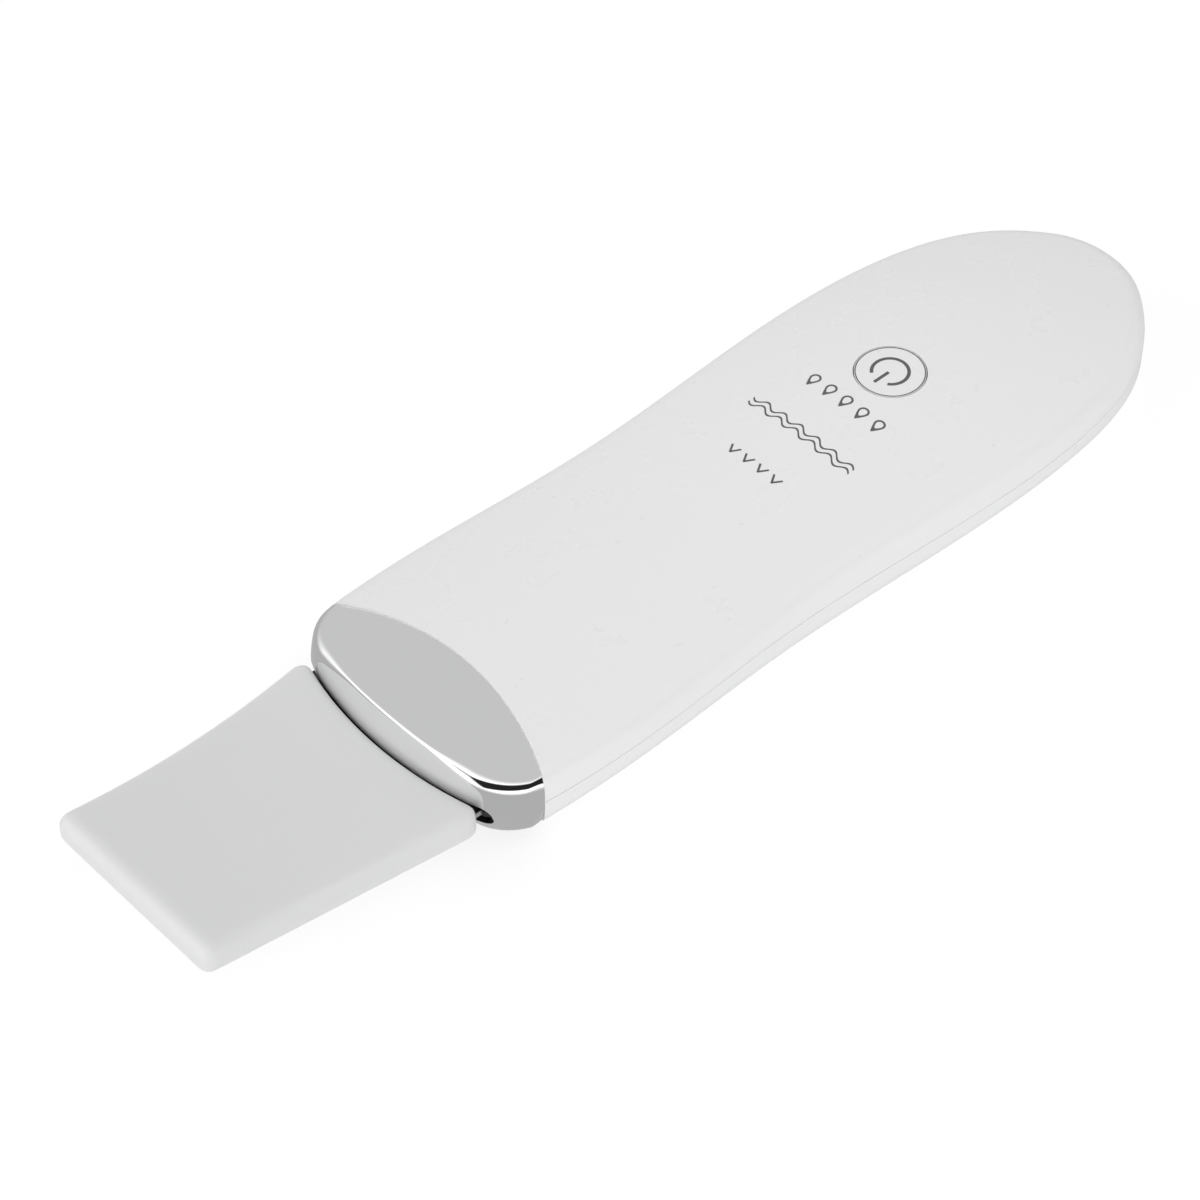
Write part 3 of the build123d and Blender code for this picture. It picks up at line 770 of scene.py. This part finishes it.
@dataclass
class ModeMarks:
    """Three rows of printed signs for the modes: drops, waves and chevrons.

    Args:
        ink: the ink's material.
        rows: places of the three rows along the handle.
        stroke: width of the printed strokes.
        sign: size of a sign along the handle.
        drop_pitch: distance between drops.
        drop_count: number of drops.
        drop_radius: radius of a drop, as a share of the sign.
        drop_shift: how far a drop's round end is moved back, as a share of its radius.
        drop_point: how far a drop's point is drawn out, as a share of its radius.
        drop_taper: how far a drop narrows towards its point.
        wave_length: length of the wavy strokes.
        wave_count: number of waves along them.
        wave_height: height of a wave from its middle.
        wave_gap: distance between the two strokes, as a share of the sign.
        wave_steps: divisions along a stroke.
        chevron_pitch: distance between chevrons.
        chevron_count: number of chevrons.
        chevron_reach: a chevron's half width, as a share of the sign.
        chevron_foot: how far its feet are behind the row, as a share of its half width.
        chevron_overlap: how far its strokes cross at the peak, as a share of the stroke.
        height: height that the marks are drawn at, over the handle.
    """

    ink: bpy.types.Material
    rows: tuple[float, float, float]
    stroke: float = 0.30 * MM
    sign: float = 1.9 * MM
    drop_pitch: float = 3.0 * MM
    drop_count: int = 5
    drop_radius: float = 0.36
    drop_shift: float = 0.4
    drop_point: float = 0.85
    drop_taper: float = 0.36
    wave_length: float = 18.6 * MM
    wave_count: int = 6
    wave_height: float = 0.45 * MM
    wave_gap: float = 0.5
    wave_steps: int = 180
    chevron_pitch: float = 2.6 * MM
    chevron_count: int = 4
    chevron_reach: float = 0.42
    chevron_foot: float = 0.6
    chevron_overlap: float = 0.3
    height: float = 20.0 * MM

    def build(self) -> None:
        """Print the three rows on the front cover."""
        printer = Printer("front_cover", Body.HANDLE, self.ink)
        printer.lay(self.drops())
        printer.lay(self.waves())
        printer.lay(self.chevrons())

    def spread(self, count: int, pitch: float) -> list[float]:
        """Places of a row's signs across the handle.

        Args:
            count: number of signs.
            pitch: distance between them.

        Returns:
            Their places along Y.
        """
        return [(index - (count - 1) / 2) * pitch for index in range(count)]

    def drops(self) -> bpy.types.Object:
        """Draw a row of outlined drops, each with its point towards the blade.

        Returns:
            The row.
        """
        signs = []
        radius = self.sign * self.drop_radius
        for place in self.spread(self.drop_count, self.drop_pitch):
            centre = (self.rows[0] + radius * self.drop_shift, place, self.height)
            drop = ring("drop", centre, radius, self.stroke)
            for vertex in drop.data.vertices:
                reach = max(-vertex.co.x, 0.0)
                vertex.co.x -= reach * reach / radius * self.drop_point
                vertex.co.y *= 1.0 - self.drop_taper * (reach / radius) ** 2
            signs.append(drop)
        return join("drop_row", signs)

    def waves(self) -> bpy.types.Object:
        """Draw two parallel wavy strokes.

        Returns:
            The row.
        """
        strokes = []
        for side in (-0.5, 0.5):
            bpy.ops.object.select_all(action="DESELECT")
            bpy.ops.mesh.primitive_grid_add(
                x_subdivisions=1, y_subdivisions=self.wave_steps, size=1.0
            )
            line = made("wave")
            line.scale = (self.stroke, self.wave_length, 1.0)
            settle(line)
            for vertex in line.data.vertices:
                phase = vertex.co.y / self.wave_length * self.wave_count * 2 * math.pi
                vertex.co.x += self.wave_height * math.sin(phase)
                vertex.co.x += self.rows[1] + side * self.sign * self.wave_gap
                vertex.co.z = self.height
            strokes.append(line)
        return join("wave_row", strokes)

    def chevrons(self) -> bpy.types.Object:
        """Draw a row of chevrons that point towards the blade.

        Returns:
            The row.
        """
        strokes = []
        reach = self.sign * self.chevron_reach
        back = self.rows[2] + reach * self.chevron_foot
        for place in self.spread(self.chevron_count, self.chevron_pitch):
            peak = Vector((self.rows[2] - reach, place, self.height))
            for side in (-1, 1):
                foot = Vector((back, place + side * reach, self.height))
                over = (peak - foot).normalized() * self.stroke * self.chevron_overlap
                strokes.append(bar("chevron", foot, peak + over, self.stroke))
        return join("chevron_row", strokes)


@dataclass
class PowerButton:
    """Printed ring and power sign on the button.

    Args:
        ink: the ink's material.
        centre: middle of the button, along X.
        radius: radius of the button's face, which the printed ring keeps inside.
        line: width of the printed ring.
        sign_radius: radius of the sign's arc.
        stroke: width of the sign's strokes.
        stem: ends of the sign's stem, as shares of the arc's radius.
        gap: half angle of the arc's opening, in degrees.
        height: height that the marks are drawn at, over the button.
    """

    ink: bpy.types.Material
    centre: float
    radius: float
    line: float = 0.16 * MM
    sign_radius: float = 2.5 * MM
    stroke: float = 0.48 * MM
    stem: Span = (1.22, 0.12)
    gap: float = 36.0
    height: float = 20.0 * MM

    def build(self) -> None:
        """Print the ring and the sign on the button."""
        printer = Printer("power_button", Body.BUTTON, self.ink)
        middle = (self.centre, 0.0, self.height)
        printer.lay(ring("button_ring", middle, self.radius - self.line, self.line))
        arc = ring("sign_arc", middle, self.sign_radius, self.stroke, self.gap)
        start, end = (
            Vector((self.centre - self.sign_radius * share, 0.0, self.height))
            for share in self.stem
        )
        stem = bar("sign_stem", start, end, self.stroke)
        settle(arc)
        settle(stem)
        printer.lay(join("power_sign", [arc, stem]))


# ---------------------------------------------------------------- plated head
@dataclass
class PlatedHead:
    """Plated head: a bowed nose whose skin rolls over a soft crease, with the blade's slot.

    The skin is a grid of ribs. Each rib runs from the joint line with the covers, forward
    over the top, round the nose and back underneath. Sizes are in millimetres.

    Args:
        plating: the plating's material.
        front: foremost point of the nose.
        bow: radius of the bowed front in plan.
        half: half width at the sides.
        corner: radius of the corners in plan.
        corner_turn: bearing where the corners hand over to the sides, in degrees.
        joint_centre: centre of the joint line with the covers.
        joint_radius: radius of the joint line.
        joint_inset: how far inside the sides the joint line ends.
        seam_height: height of the covers' seam.
        widest_height: height where the outline is widest.
        crown_height: height of the crown over the seam, at its datum.
        crown_slope: rise of the crown along the handle.
        crown_datum: place along the handle where the crown's height is measured.
        crown_radius: radius of the crown across the handle.
        belly_depth: depth of the belly under the seam.
        belly_radius: radius of the belly across the handle.
        top_setback: how far the nose leans back at the top.
        top_reach: height over the widest line where it does.
        bottom_setback: how far the nose leans back at the bottom.
        setback_power: how late the nose starts to lean back.
        crease: radius of the crease in front.
        corner_crease: radius of the crease at the corners.
        side_crease: radius of the crease at the joint line.
        nose_belly: radius of the lower edge in front.
        side_belly: radius of the lower edge at the joint line.
        corner_zone: shares of the outline where the corner's crease starts and is full.
        side_zone: shares of the outline where the side's edges start and are full.
        wall: thickness of the plated wall.
        slot_length: length of the slot across the handle.
        slot_width: height of the slot's opening.
        slot_height: height of the slot's middle.
        slot_corner: radius of the slot's corners.
        slot_reach: length of the bar that cuts the slot, along the handle.
        slot_set: how far the bar's middle is behind the front.
        slot_steps: divisions of the bar along the slot.
        core_depth: how far behind the nose the ribs fan out from.
        core_share: the same for short ribs, as a share of their length.
        core_height: height that the ribs fan out from.
        core_reach: length that no rib is longer than.
        halvings: rounds of the search for the surface.
        ribs: number of steps between ribs.
        fan: steps of a rib round the nose.
        rows: steps of a rib over the top, and underneath.
        end_share: share of the outline where the last rib is.
        hollow_ribs: number of steps between the hollow's ribs.
        hollow_share: share of the outline where the hollow's last rib is.
        hollow_back: how far the hollow runs past the joint line.
        crisp_angle: angle over which an edge stays crisp, in degrees.
    """

    plating: bpy.types.Material
    front: float = -47.4
    bow: float = 55.0
    half: float = 20.80
    corner: float = 9.2
    corner_turn: float = 79.3
    joint_centre: float = -78.3
    joint_radius: float = 45.10
    joint_inset: float = 0.10
    seam_height: float = 8.0
    widest_height: float = 7.9
    crown_height: float = 5.42
    crown_slope: float = 0.020
    crown_datum: float = -46.5
    crown_radius: float = 95.0
    belly_depth: float = 8.15
    belly_radius: float = 60.0
    top_setback: float = 1.4
    top_reach: float = 5.7
    bottom_setback: float = 3.8
    setback_power: float = 1.5
    crease: float = 0.32
    corner_crease: float = 1.35
    side_crease: float = 1.8
    nose_belly: float = 0.8
    side_belly: float = 4.0
    corner_zone: Span = (0.25, 0.62)
    side_zone: Span = (0.90, 0.995)
    wall: float = 1.9
    slot_length: float = 34.4
    slot_width: float = 3.9
    slot_height: float = 6.35
    slot_corner: float = 1.6
    slot_reach: float = 14.0
    slot_set: float = 1.0
    slot_steps: int = 72
    core_depth: float = 4.5
    core_share: float = 0.55
    core_height: float = 7.0
    core_reach: float = 22.0
    halvings: int = 44
    ribs: int = 260
    fan: int = 84
    rows: int = 26
    end_share: float = 0.9997
    hollow_ribs: int = 90
    hollow_share: float = 0.82
    hollow_back: float = 3.0
    crisp_angle: float = 38.0

    def build(self) -> None:
        """Build the head and let it stand for its CAD node."""
        back = self.joint_radius
        head = self.solid("plated_nose", 0.0, self.end_share, back, self.ribs)
        hollow = self.solid(
            "hollow", self.wall, self.hollow_share, back + self.hollow_back, self.hollow_ribs
        )
        self.carve(head, hollow)
        self.carve(head, self.slot_bar())
        bpy.ops.object.shade_smooth_by_angle(angle=math.radians(self.crisp_angle))
        dress(head, self.plating)
        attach(head, Body.HANDLE.value)
        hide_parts("head_shell")
        LOG.info("built %s with %d faces", head.name, len(head.data.polygons))

    def solid(
        self, name: str, wall: float, limit: float, back: float, ribs: int
    ) -> bpy.types.Object:
        """Shape a grid into a closed solid of ribs, a wall's thickness inside the surface.

        Args:
            name: the solid's name.
            wall: distance inside the outer surface.
            limit: place of the last rib along the outline, under 1.
            back: radius of the solid's back.
            ribs: number of steps between ribs.

        Returns:
            The solid.
        """
        across = 2 * self.rows + self.fan
        bpy.ops.object.select_all(action="DESELECT")
        bpy.ops.mesh.primitive_grid_add(
            x_subdivisions=ribs, y_subdivisions=across + 1, size=1.0, location=(0, 0, 0)
        )
        piece = made(name)
        stride = ribs + 1
        last = math.asin(limit)
        for index in range(stride):
            share = math.sin(last * (2.0 * index / ribs - 1.0))
            points = self.rib(share, across, wall, back)
            for row, point in enumerate(points + points[:1]):
                piece.data.vertices[row * stride + index].co = [part * MM for part in point]
        piece.data.update()
        only(piece)
        bpy.ops.object.mode_set(mode="EDIT")
        bpy.ops.mesh.select_all(action="SELECT")
        bpy.ops.mesh.remove_doubles(threshold=SHAPE_MERGE)
        bpy.ops.mesh.select_all(action="SELECT")
        bpy.ops.mesh.fill_holes(sides=0)
        bpy.ops.object.mode_set(mode="OBJECT")
        face_out(piece)
        return piece

    def carve(self, head: bpy.types.Object, shape: bpy.types.Object) -> None:
        """Cut a shape out of the head, and take the shape away.

        Args:
            head: the head.
            shape: the closed shape that is cut out.
        """
        before = len(head.data.polygons)
        use(Tool.CUT, head, object=shape, operation="DIFFERENCE", solver="EXACT")
        LOG.info("cut %s: %d to %d faces", shape.name, before, len(head.data.polygons))
        bpy.data.objects.remove(shape)

    def rib(self, share: float, across: int, wall: float, back: float) -> list[Point]:
        """Points of one rib, from the joint line over the nose and back.

        Args:
            share: place along the nose's outline, from -1 to 1.
            across: number of steps along the rib.
            wall: distance inside the outer surface.
            back: radius of the joint line.

        Returns:
            The points in millimetres.
        """
        nose_x, nose_y = self.outline(share)
        back_y = share * (self.half - self.joint_inset)
        back_x = self.joint_centre + math.sqrt(back**2 - back_y**2)
        reach = math.hypot(back_x - nose_x, back_y - nose_y)
        along = ((back_x - nose_x) / reach, (back_y - nose_y) / reach)
        core = min(self.core_depth, self.core_share * reach)
        points = []
        for step in range(across + 1):
            if step < self.rows or step > across - self.rows:
                rank = min(step, across - step) / self.rows
                depth = reach + (core - reach) * rank
                angle = math.pi / 2 if step < self.rows else -math.pi / 2
            else:
                depth = core
                angle = math.pi / 2 - math.pi * (step - self.rows) / self.fan
            start = (nose_x + along[0] * depth, nose_y + along[1] * depth, self.core_height)
            toward = (
                -along[0] * math.cos(angle), -along[1] * math.cos(angle), math.sin(angle)
            )
            points.append(self.meet(start, toward, share, wall))
        return points

    def outline(self, share: float) -> tuple[float, float]:
        """Point of the nose's widest outline.

        Args:
            share: place along the outline, from -1 to 1.

        Returns:
            The point's X and Y.
        """
        side = 1.0 if share >= 0 else -1.0
        centre_x, centre_y, tangent = self.corner_centre()
        flat = self.bow * tangent
        turned = math.radians(self.corner_turn) - tangent
        length = abs(share) * (flat + self.corner * turned)
        if length <= flat:
            angle = length / self.bow
            return (
                self.front + self.bow * (1 - math.cos(angle)),
                side * self.bow * math.sin(angle),
            )
        angle = tangent + (length - flat) / self.corner
        return (
            centre_x - self.corner * math.cos(angle),
            side * (centre_y + self.corner * math.sin(angle)),
        )

    def corner_centre(self) -> tuple[float, float, float]:
        """Centre of the plan's corner, and the angle at which the bow hands over to it.

        Returns:
            The centre's X and Y, and the angle in radians.
        """
        centre_y = self.half - self.corner
        tangent = math.asin(centre_y / (self.bow - self.corner))
        middle = self.front + self.bow
        centre_x = middle - (self.bow - self.corner) * math.cos(tangent)
        return centre_x, centre_y, tangent

    def meet(self, start: Point, toward: Point, share: float, wall: float) -> Point:
        """Follow a line from inside the head to its surface.

        Args:
            start: point inside.
            toward: direction of the line.
            share: place along the nose's outline, from -1 to 1.
            wall: distance inside the outer surface.

        Returns:
            The point on the surface.
        """
        inner, outer = 0.0, self.core_reach
        for _ in range(self.halvings):
            middle = (inner + outer) / 2
            point = tuple(base + middle * part for base, part in zip(start, toward))
            if self.outside(point, share) > -wall:
                outer = middle
            else:
                inner = middle
        return tuple(base + inner * part for base, part in zip(start, toward))

    def outside(self, point: Point, share: float) -> float:
        """How far a point is outside the head.

        Args:
            point: the point in millimetres.
            share: place along the nose's outline, which sets the crease.

        Returns:
            The distance, negative inside.
        """
        x, y, z = point
        up = max(z - self.widest_height, 0.0) / self.top_reach
        down = max(self.widest_height - z, 0.0) / self.widest_height
        setback = self.top_setback * up**self.setback_power
        setback += self.bottom_setback * down**self.setback_power
        side = self.off_outline(x - setback, abs(y))
        crown = self.crown_height + self.crown_slope * (x - self.crown_datum)
        top = z - self.seam_height - crown + self.sag(self.crown_radius, y)
        belly = self.seam_height - self.belly_depth + self.sag(self.belly_radius, y) - z
        belly = max(belly, -z)
        near_side = smooth_step(abs(share), *self.side_zone)
        under = self.nose_belly + (self.side_belly - self.nose_belly) * near_side
        return self.rolled(self.rolled(side, belly, under), top, self.crease_at(share))

    def crease_at(self, share: float) -> float:
        """Radius of the crease: fine in front, softer at the corners, widest at the joint.

        Args:
            share: place along the nose's outline, from -1 to 1.

        Returns:
            The radius.
        """
        corner = smooth_step(abs(share), *self.corner_zone)
        side = smooth_step(abs(share), *self.side_zone)
        soft = self.crease + (self.corner_crease - self.crease) * corner
        return soft + (self.side_crease - soft) * side

    def sag(self, radius: float, y: float) -> float:
        """Drop of a crown of a radius, off its middle line."""
        return radius - math.sqrt(max(radius**2 - y**2, 0.0))

    def rolled(self, one: float, other: float, radius: float) -> float:
        """Meet two surfaces in an edge rolled to a radius."""
        edge = math.hypot(max(radius + one, 0.0), max(radius + other, 0.0))
        return min(-radius, max(one, other)) + edge

    def off_outline(self, x: float, y: float) -> float:
        """Distance from the nose's outline in plan.

        Args:
            x: place along the handle.
            y: distance from the middle line.

        Returns:
            The distance, negative inside.
        """
        centre_x, centre_y, tangent = self.corner_centre()
        middle = self.front + self.bow
        if y < math.tan(tangent) * (middle - x):
            return math.hypot(x - middle, y) - self.bow
        if x < centre_x:
            return math.hypot(x - centre_x, y - centre_y) - self.corner
        return y - self.half

    def slot_bar(self) -> bpy.types.Object:
        """Shape a bar with round ends, the shape of the blade's slot.

        Returns:
            The bar.
        """
        bpy.ops.object.select_all(action="DESELECT")
        bpy.ops.mesh.primitive_grid_add(
            x_subdivisions=1, y_subdivisions=self.slot_steps, size=1.0, location=(0, 0, 0)
        )
        cutter = made("slot_bar")
        cutter.scale = (self.slot_reach * MM, self.slot_length * MM, 1.0)
        settle(cutter)
        bpy.ops.object.mode_set(mode="EDIT")
        bpy.ops.mesh.select_all(action="SELECT")
        bpy.ops.mesh.extrude_region_move(
            TRANSFORM_OT_translate={"value": (0, 0, self.slot_width * MM)}
        )
        bpy.ops.object.mode_set(mode="OBJECT")
        face_out(cutter)
        rise = self.slot_width / 2
        reach = self.slot_length / 2
        straight = reach - self.slot_corner
        for vertex in cutter.data.vertices:
            turn = vertex.co.y / (reach * MM) * math.pi / 2
            y = reach * math.sin(turn)
            past = max(abs(y) - straight, 0.0)
            half = rise - self.slot_corner + math.sqrt(max(self.slot_corner**2 - past**2, 0.0))
            upper = vertex.co.z > rise * MM
            vertex.co.y = y * MM
            vertex.co.z = (self.slot_height + (half if upper else -half)) * MM
            vertex.co.x += (self.front + self.slot_set) * MM
        cutter.data.update()
        return cutter


# ---------------------------------------------------------------- silicone cap
@dataclass
class SiliconeCap:
    """Soft cap over the blade, with the pillow edges of moulded silicone.

    Sizes are in millimetres, but for the remesh.

    Args:
        silicone: the cap's material.
        voxel: size of the remesh in metres.
        rounds: rounds of smoothing that soften the edges.
        smoothing: strength of a round.
        back: back edge on the middle line.
        bow: radius of the bowed back edge in plan.
        middle: height of the cap's middle.
        half: half the cap's thickness.
        moulded_edge: radius of the edges of the node that the cap is made from.
        back_edge: radius of the back edge.
        advance: how far the back edge is brought up to the nose.
        blend: length over which it is.
        length: length of the cap in front of its back edge.
        corner_set: how far behind that edge its back corners are.
        waist: how far the sides are drawn in half way along.
        rim_width: width of the rim that is drawn in.
    """

    silicone: bpy.types.Material
    voxel: float = 0.34 * MM
    rounds: int = 6
    smoothing: float = 0.5
    back: float = -47.85
    bow: float = 55.0
    middle: float = 6.8
    half: float = 2.3
    moulded_edge: float = 1.7
    back_edge: float = 0.8
    advance: float = 0.2
    blend: float = 5.0
    length: float = 38.0
    corner_set: float = 3.0
    waist: float = 0.95
    rim_width: float = 1.6

    def build(self) -> None:
        """Build the cap and let it stand for its CAD node."""
        source = frame["nodes"]["blade_cap"]
        cap = bpy.data.objects.new("soft_cap", source.data.copy())
        bpy.context.scene.collection.objects.link(cap)
        only(cap)
        bpy.ops.object.mode_set(mode="EDIT")
        bpy.ops.mesh.select_all(action="SELECT")
        bpy.ops.mesh.customdata_custom_splitnormals_clear()
        bpy.ops.mesh.remove_doubles(threshold=NODE_MERGE)
        bpy.ops.object.mode_set(mode="OBJECT")
        use(Tool.REMESH, cap, voxel_size=self.voxel)
        self.square_back(cap)
        self.draw_in_sides(cap)
        use(Tool.SMOOTH, cap, factor=self.smoothing, iterations=self.rounds)
        cap.data.materials.clear()
        bpy.ops.object.shade_smooth()
        dress(cap, self.silicone)
        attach(cap, Body.CAP.value)
        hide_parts("blade_cap")
        LOG.info("built %s with %d faces", cap.name, len(cap.data.polygons))

    def square_back(self, cap: bpy.types.Object) -> None:
        """Bring the cap's back edge up to the nose, with a tighter edge than the rest.

        Args:
            cap: the cap.
        """
        for vertex in cap.data.vertices:
            x, y, z = (part / MM for part in vertex.co)
            edge = self.back + self.bow - math.sqrt(self.bow**2 - y**2)
            near = smooth_step(x, edge - self.blend, edge)
            height = min(abs(z - self.middle), self.half)
            old = self.round_off(height, self.moulded_edge)
            new = self.round_off(height, self.back_edge)
            vertex.co.x += (old - new + self.advance) * near * MM
        cap.data.update()

    def draw_in_sides(self, cap: bpy.types.Object) -> None:
        """Draw the sides in between the corners, without moving the pocket for the blade.

        Args:
            cap: the cap.
        """
        back_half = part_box("blade_cap")[1][1]
        for vertex in cap.data.vertices:
            x, y, _ = (part / MM for part in vertex.co)
            share = (self.back + self.corner_set - x) / (self.length + self.corner_set)
            share = min(max(share, 0.0), 1.0)
            half = (back_half - CAP_TAPER * share) / MM
            outer = min(max((abs(y) - (half - self.rim_width)) / self.rim_width, 0.0), 1.0)
            pull = self.waist * math.sin(math.pi * share) * outer
            vertex.co.y -= math.copysign(pull, y) * MM
        cap.data.update()

    def round_off(self, height: float, radius: float) -> float:
        """How far an edge of a radius draws back at a height from the middle."""
        past = max(height - (self.half - radius), 0.0)
        return radius - math.sqrt(max(radius**2 - past**2, 0.0))


# ---------------------------------------------------------------- dressed nodes
@dataclass
class Dresser:
    """Gives the carried-over nodes their finishes.

    Args:
        finishes: material slot to finish.
    """

    finishes: dict[str, Finish]

    def build(self) -> dict[str, bpy.types.Material]:
        """Make each finish once and put it on its nodes.

        Returns:
            Material slot to material.
        """
        materials = {slot: finish.build() for slot, finish in self.finishes.items()}
        for part in frame["record"]["subparts"]:
            node = frame["nodes"][part["node"]]
            dress(node, materials[part["material_slot"]])
            LOG.info("dressed %s as %s", part["node"], part["material_slot"])
        return materials


def cap_finish() -> Silicone:
    """Silicone finish sized from the cap's own box.

    Returns:
        The finish.
    """
    low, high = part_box("blade_cap")
    return Silicone(
        "milky_silicone",
        (0.76, 0.762, 0.764),
        0.42,
        gloss_spread=0.05,
        tint=0.02,
        grain_size=0.35 * MM,
        subsurface=0.35,
        scatter=2.0 * MM,
        # Painted shade: the rim is painted a shade darker than the middle, to damp the light
        # that the rim catches.
        painted_rim_shade=(0.75, 0.752, 0.754),
        tip_x=low[0],
        back_x=high[0] - CAP_BOW,
        tip_half=high[1] - CAP_TAPER,
        back_half=high[1],
    )


def finishes() -> dict[str, Finish]:
    """Finish of every material slot.

    Returns:
        Material slot to finish.
    """
    steel = (0.60, 0.61, 0.62)
    aluminium = (0.80, 0.81, 0.82)
    shell = Finish(
        "glossy_shell",
        (0.88, 0.88, 0.883),
        0.28,
        grain_size=6 * MM,
        gloss_spread=0.02,
        tint=0.001,
        relief=0.001 * MM,
    )
    plating = Finish(
        "bright_plating",
        (0.84, 0.842, 0.845),
        0.06,
        1.0,
        grain_size=4 * MM,
        gloss_spread=0.015,
        relief=0.0,
    )
    return {
        "shell_white": shell,
        "button_white": replace(shell, name="glossy_key"),
        "plated_head": plating,
        "contact_metal": Finish(
            "polished_contact", aluminium, 0.16, 1.0, Grain.ALONG_HANDLE, 0.15 * MM
        ),
        "blade_steel": Finish(
            "brushed_blade", steel, 0.24, 1.0, Grain.ALONG_HANDLE, 0.12 * MM, tint=0.12
        ),
        "bright_steel": Finish("nickel_steel", (0.70, 0.69, 0.66), 0.28, 1.0, tint=0.08),
        "dark_steel": Finish("turned_steel", (0.38, 0.38, 0.40), 0.35, 1.0, Grain.ROUND_AXIS),
        "horn_aluminium": Finish("turned_aluminium", aluminium, 0.32, 1.0, Grain.ROUND_AXIS),
        "shim_brass": Finish("rolled_brass", (0.80, 0.58, 0.24), 0.30, 1.0, Grain.UPRIGHT),
        "copper_wire": Finish(
            "wound_copper", (0.72, 0.30, 0.12), 0.35, 1.0, grain_size=0.2 * MM, relief=0.05 * MM
        ),
        "seal_rubber": Finish(
            "moulded_rubber", (0.03, 0.03, 0.03), 0.6, relief=0.01 * MM, tint=0.3
        ),
        "black_plastic": Finish("printed_black", (0.11, 0.11, 0.11), 0.5, tint=0.15),
        "board_laminate": Finish(
            "solder_mask", (0.02, 0.16, 0.06), 0.35, grain_size=0.3 * MM, tint=0.35, coat=0.4
        ),
        "light_lens": Finish("cast_lens", (0.85, 0.80, 0.55), 0.15, subsurface=0.3, coat=0.5),
        "ferrite": Finish(
            "sintered_ferrite", (0.05, 0.05, 0.055), 0.7, tint=0.4, relief=0.02 * MM
        ),
        "battery_wrap": Finish(
            "foil_pouch", (0.42, 0.44, 0.47), 0.38, 0.6, relief=0.02 * MM
        ),
        "foam_pad": Finish("closed_foam", (0.06, 0.06, 0.06), 0.9, tint=0.5, relief=0.05 * MM),
        "piezo_ceramic": Finish("pressed_ceramic", (0.72, 0.66, 0.50), 0.55, tint=0.15),
        "lead_insulation": Finish("lead_jacket", (0.50, 0.03, 0.02), 0.4, tint=0.1),
        "cap_silicone": cap_finish(),
    }


def main() -> None:
    """Build the studio and every piece in order."""
    logging.basicConfig(level=logging.INFO)
    Studio().build()
    materials = Dresser(finishes()).build()
    ink = Finish("grey_ink", (0.12, 0.12, 0.125), 0.5, tint=0.15, grain_size=0.1 * MM).build()
    low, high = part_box("power_button")
    centre = (low[0] + high[0]) / 2
    lights_low, lights_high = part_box("mode_lights")
    first = lights_high[0] - MARK_INSET
    last = lights_low[0] + MARK_INSET
    ModeMarks(ink, (first, (first + last) / 2, last)).build()
    PowerButton(ink, centre, PRINT_RADIUS).build()
    PlatedHead(materials["plated_head"]).build()
    SiliconeCap(materials["cap_silicone"]).build()
    LOG.info("dressed %d materials", len(materials))


if __name__ == "__main__":
    main()
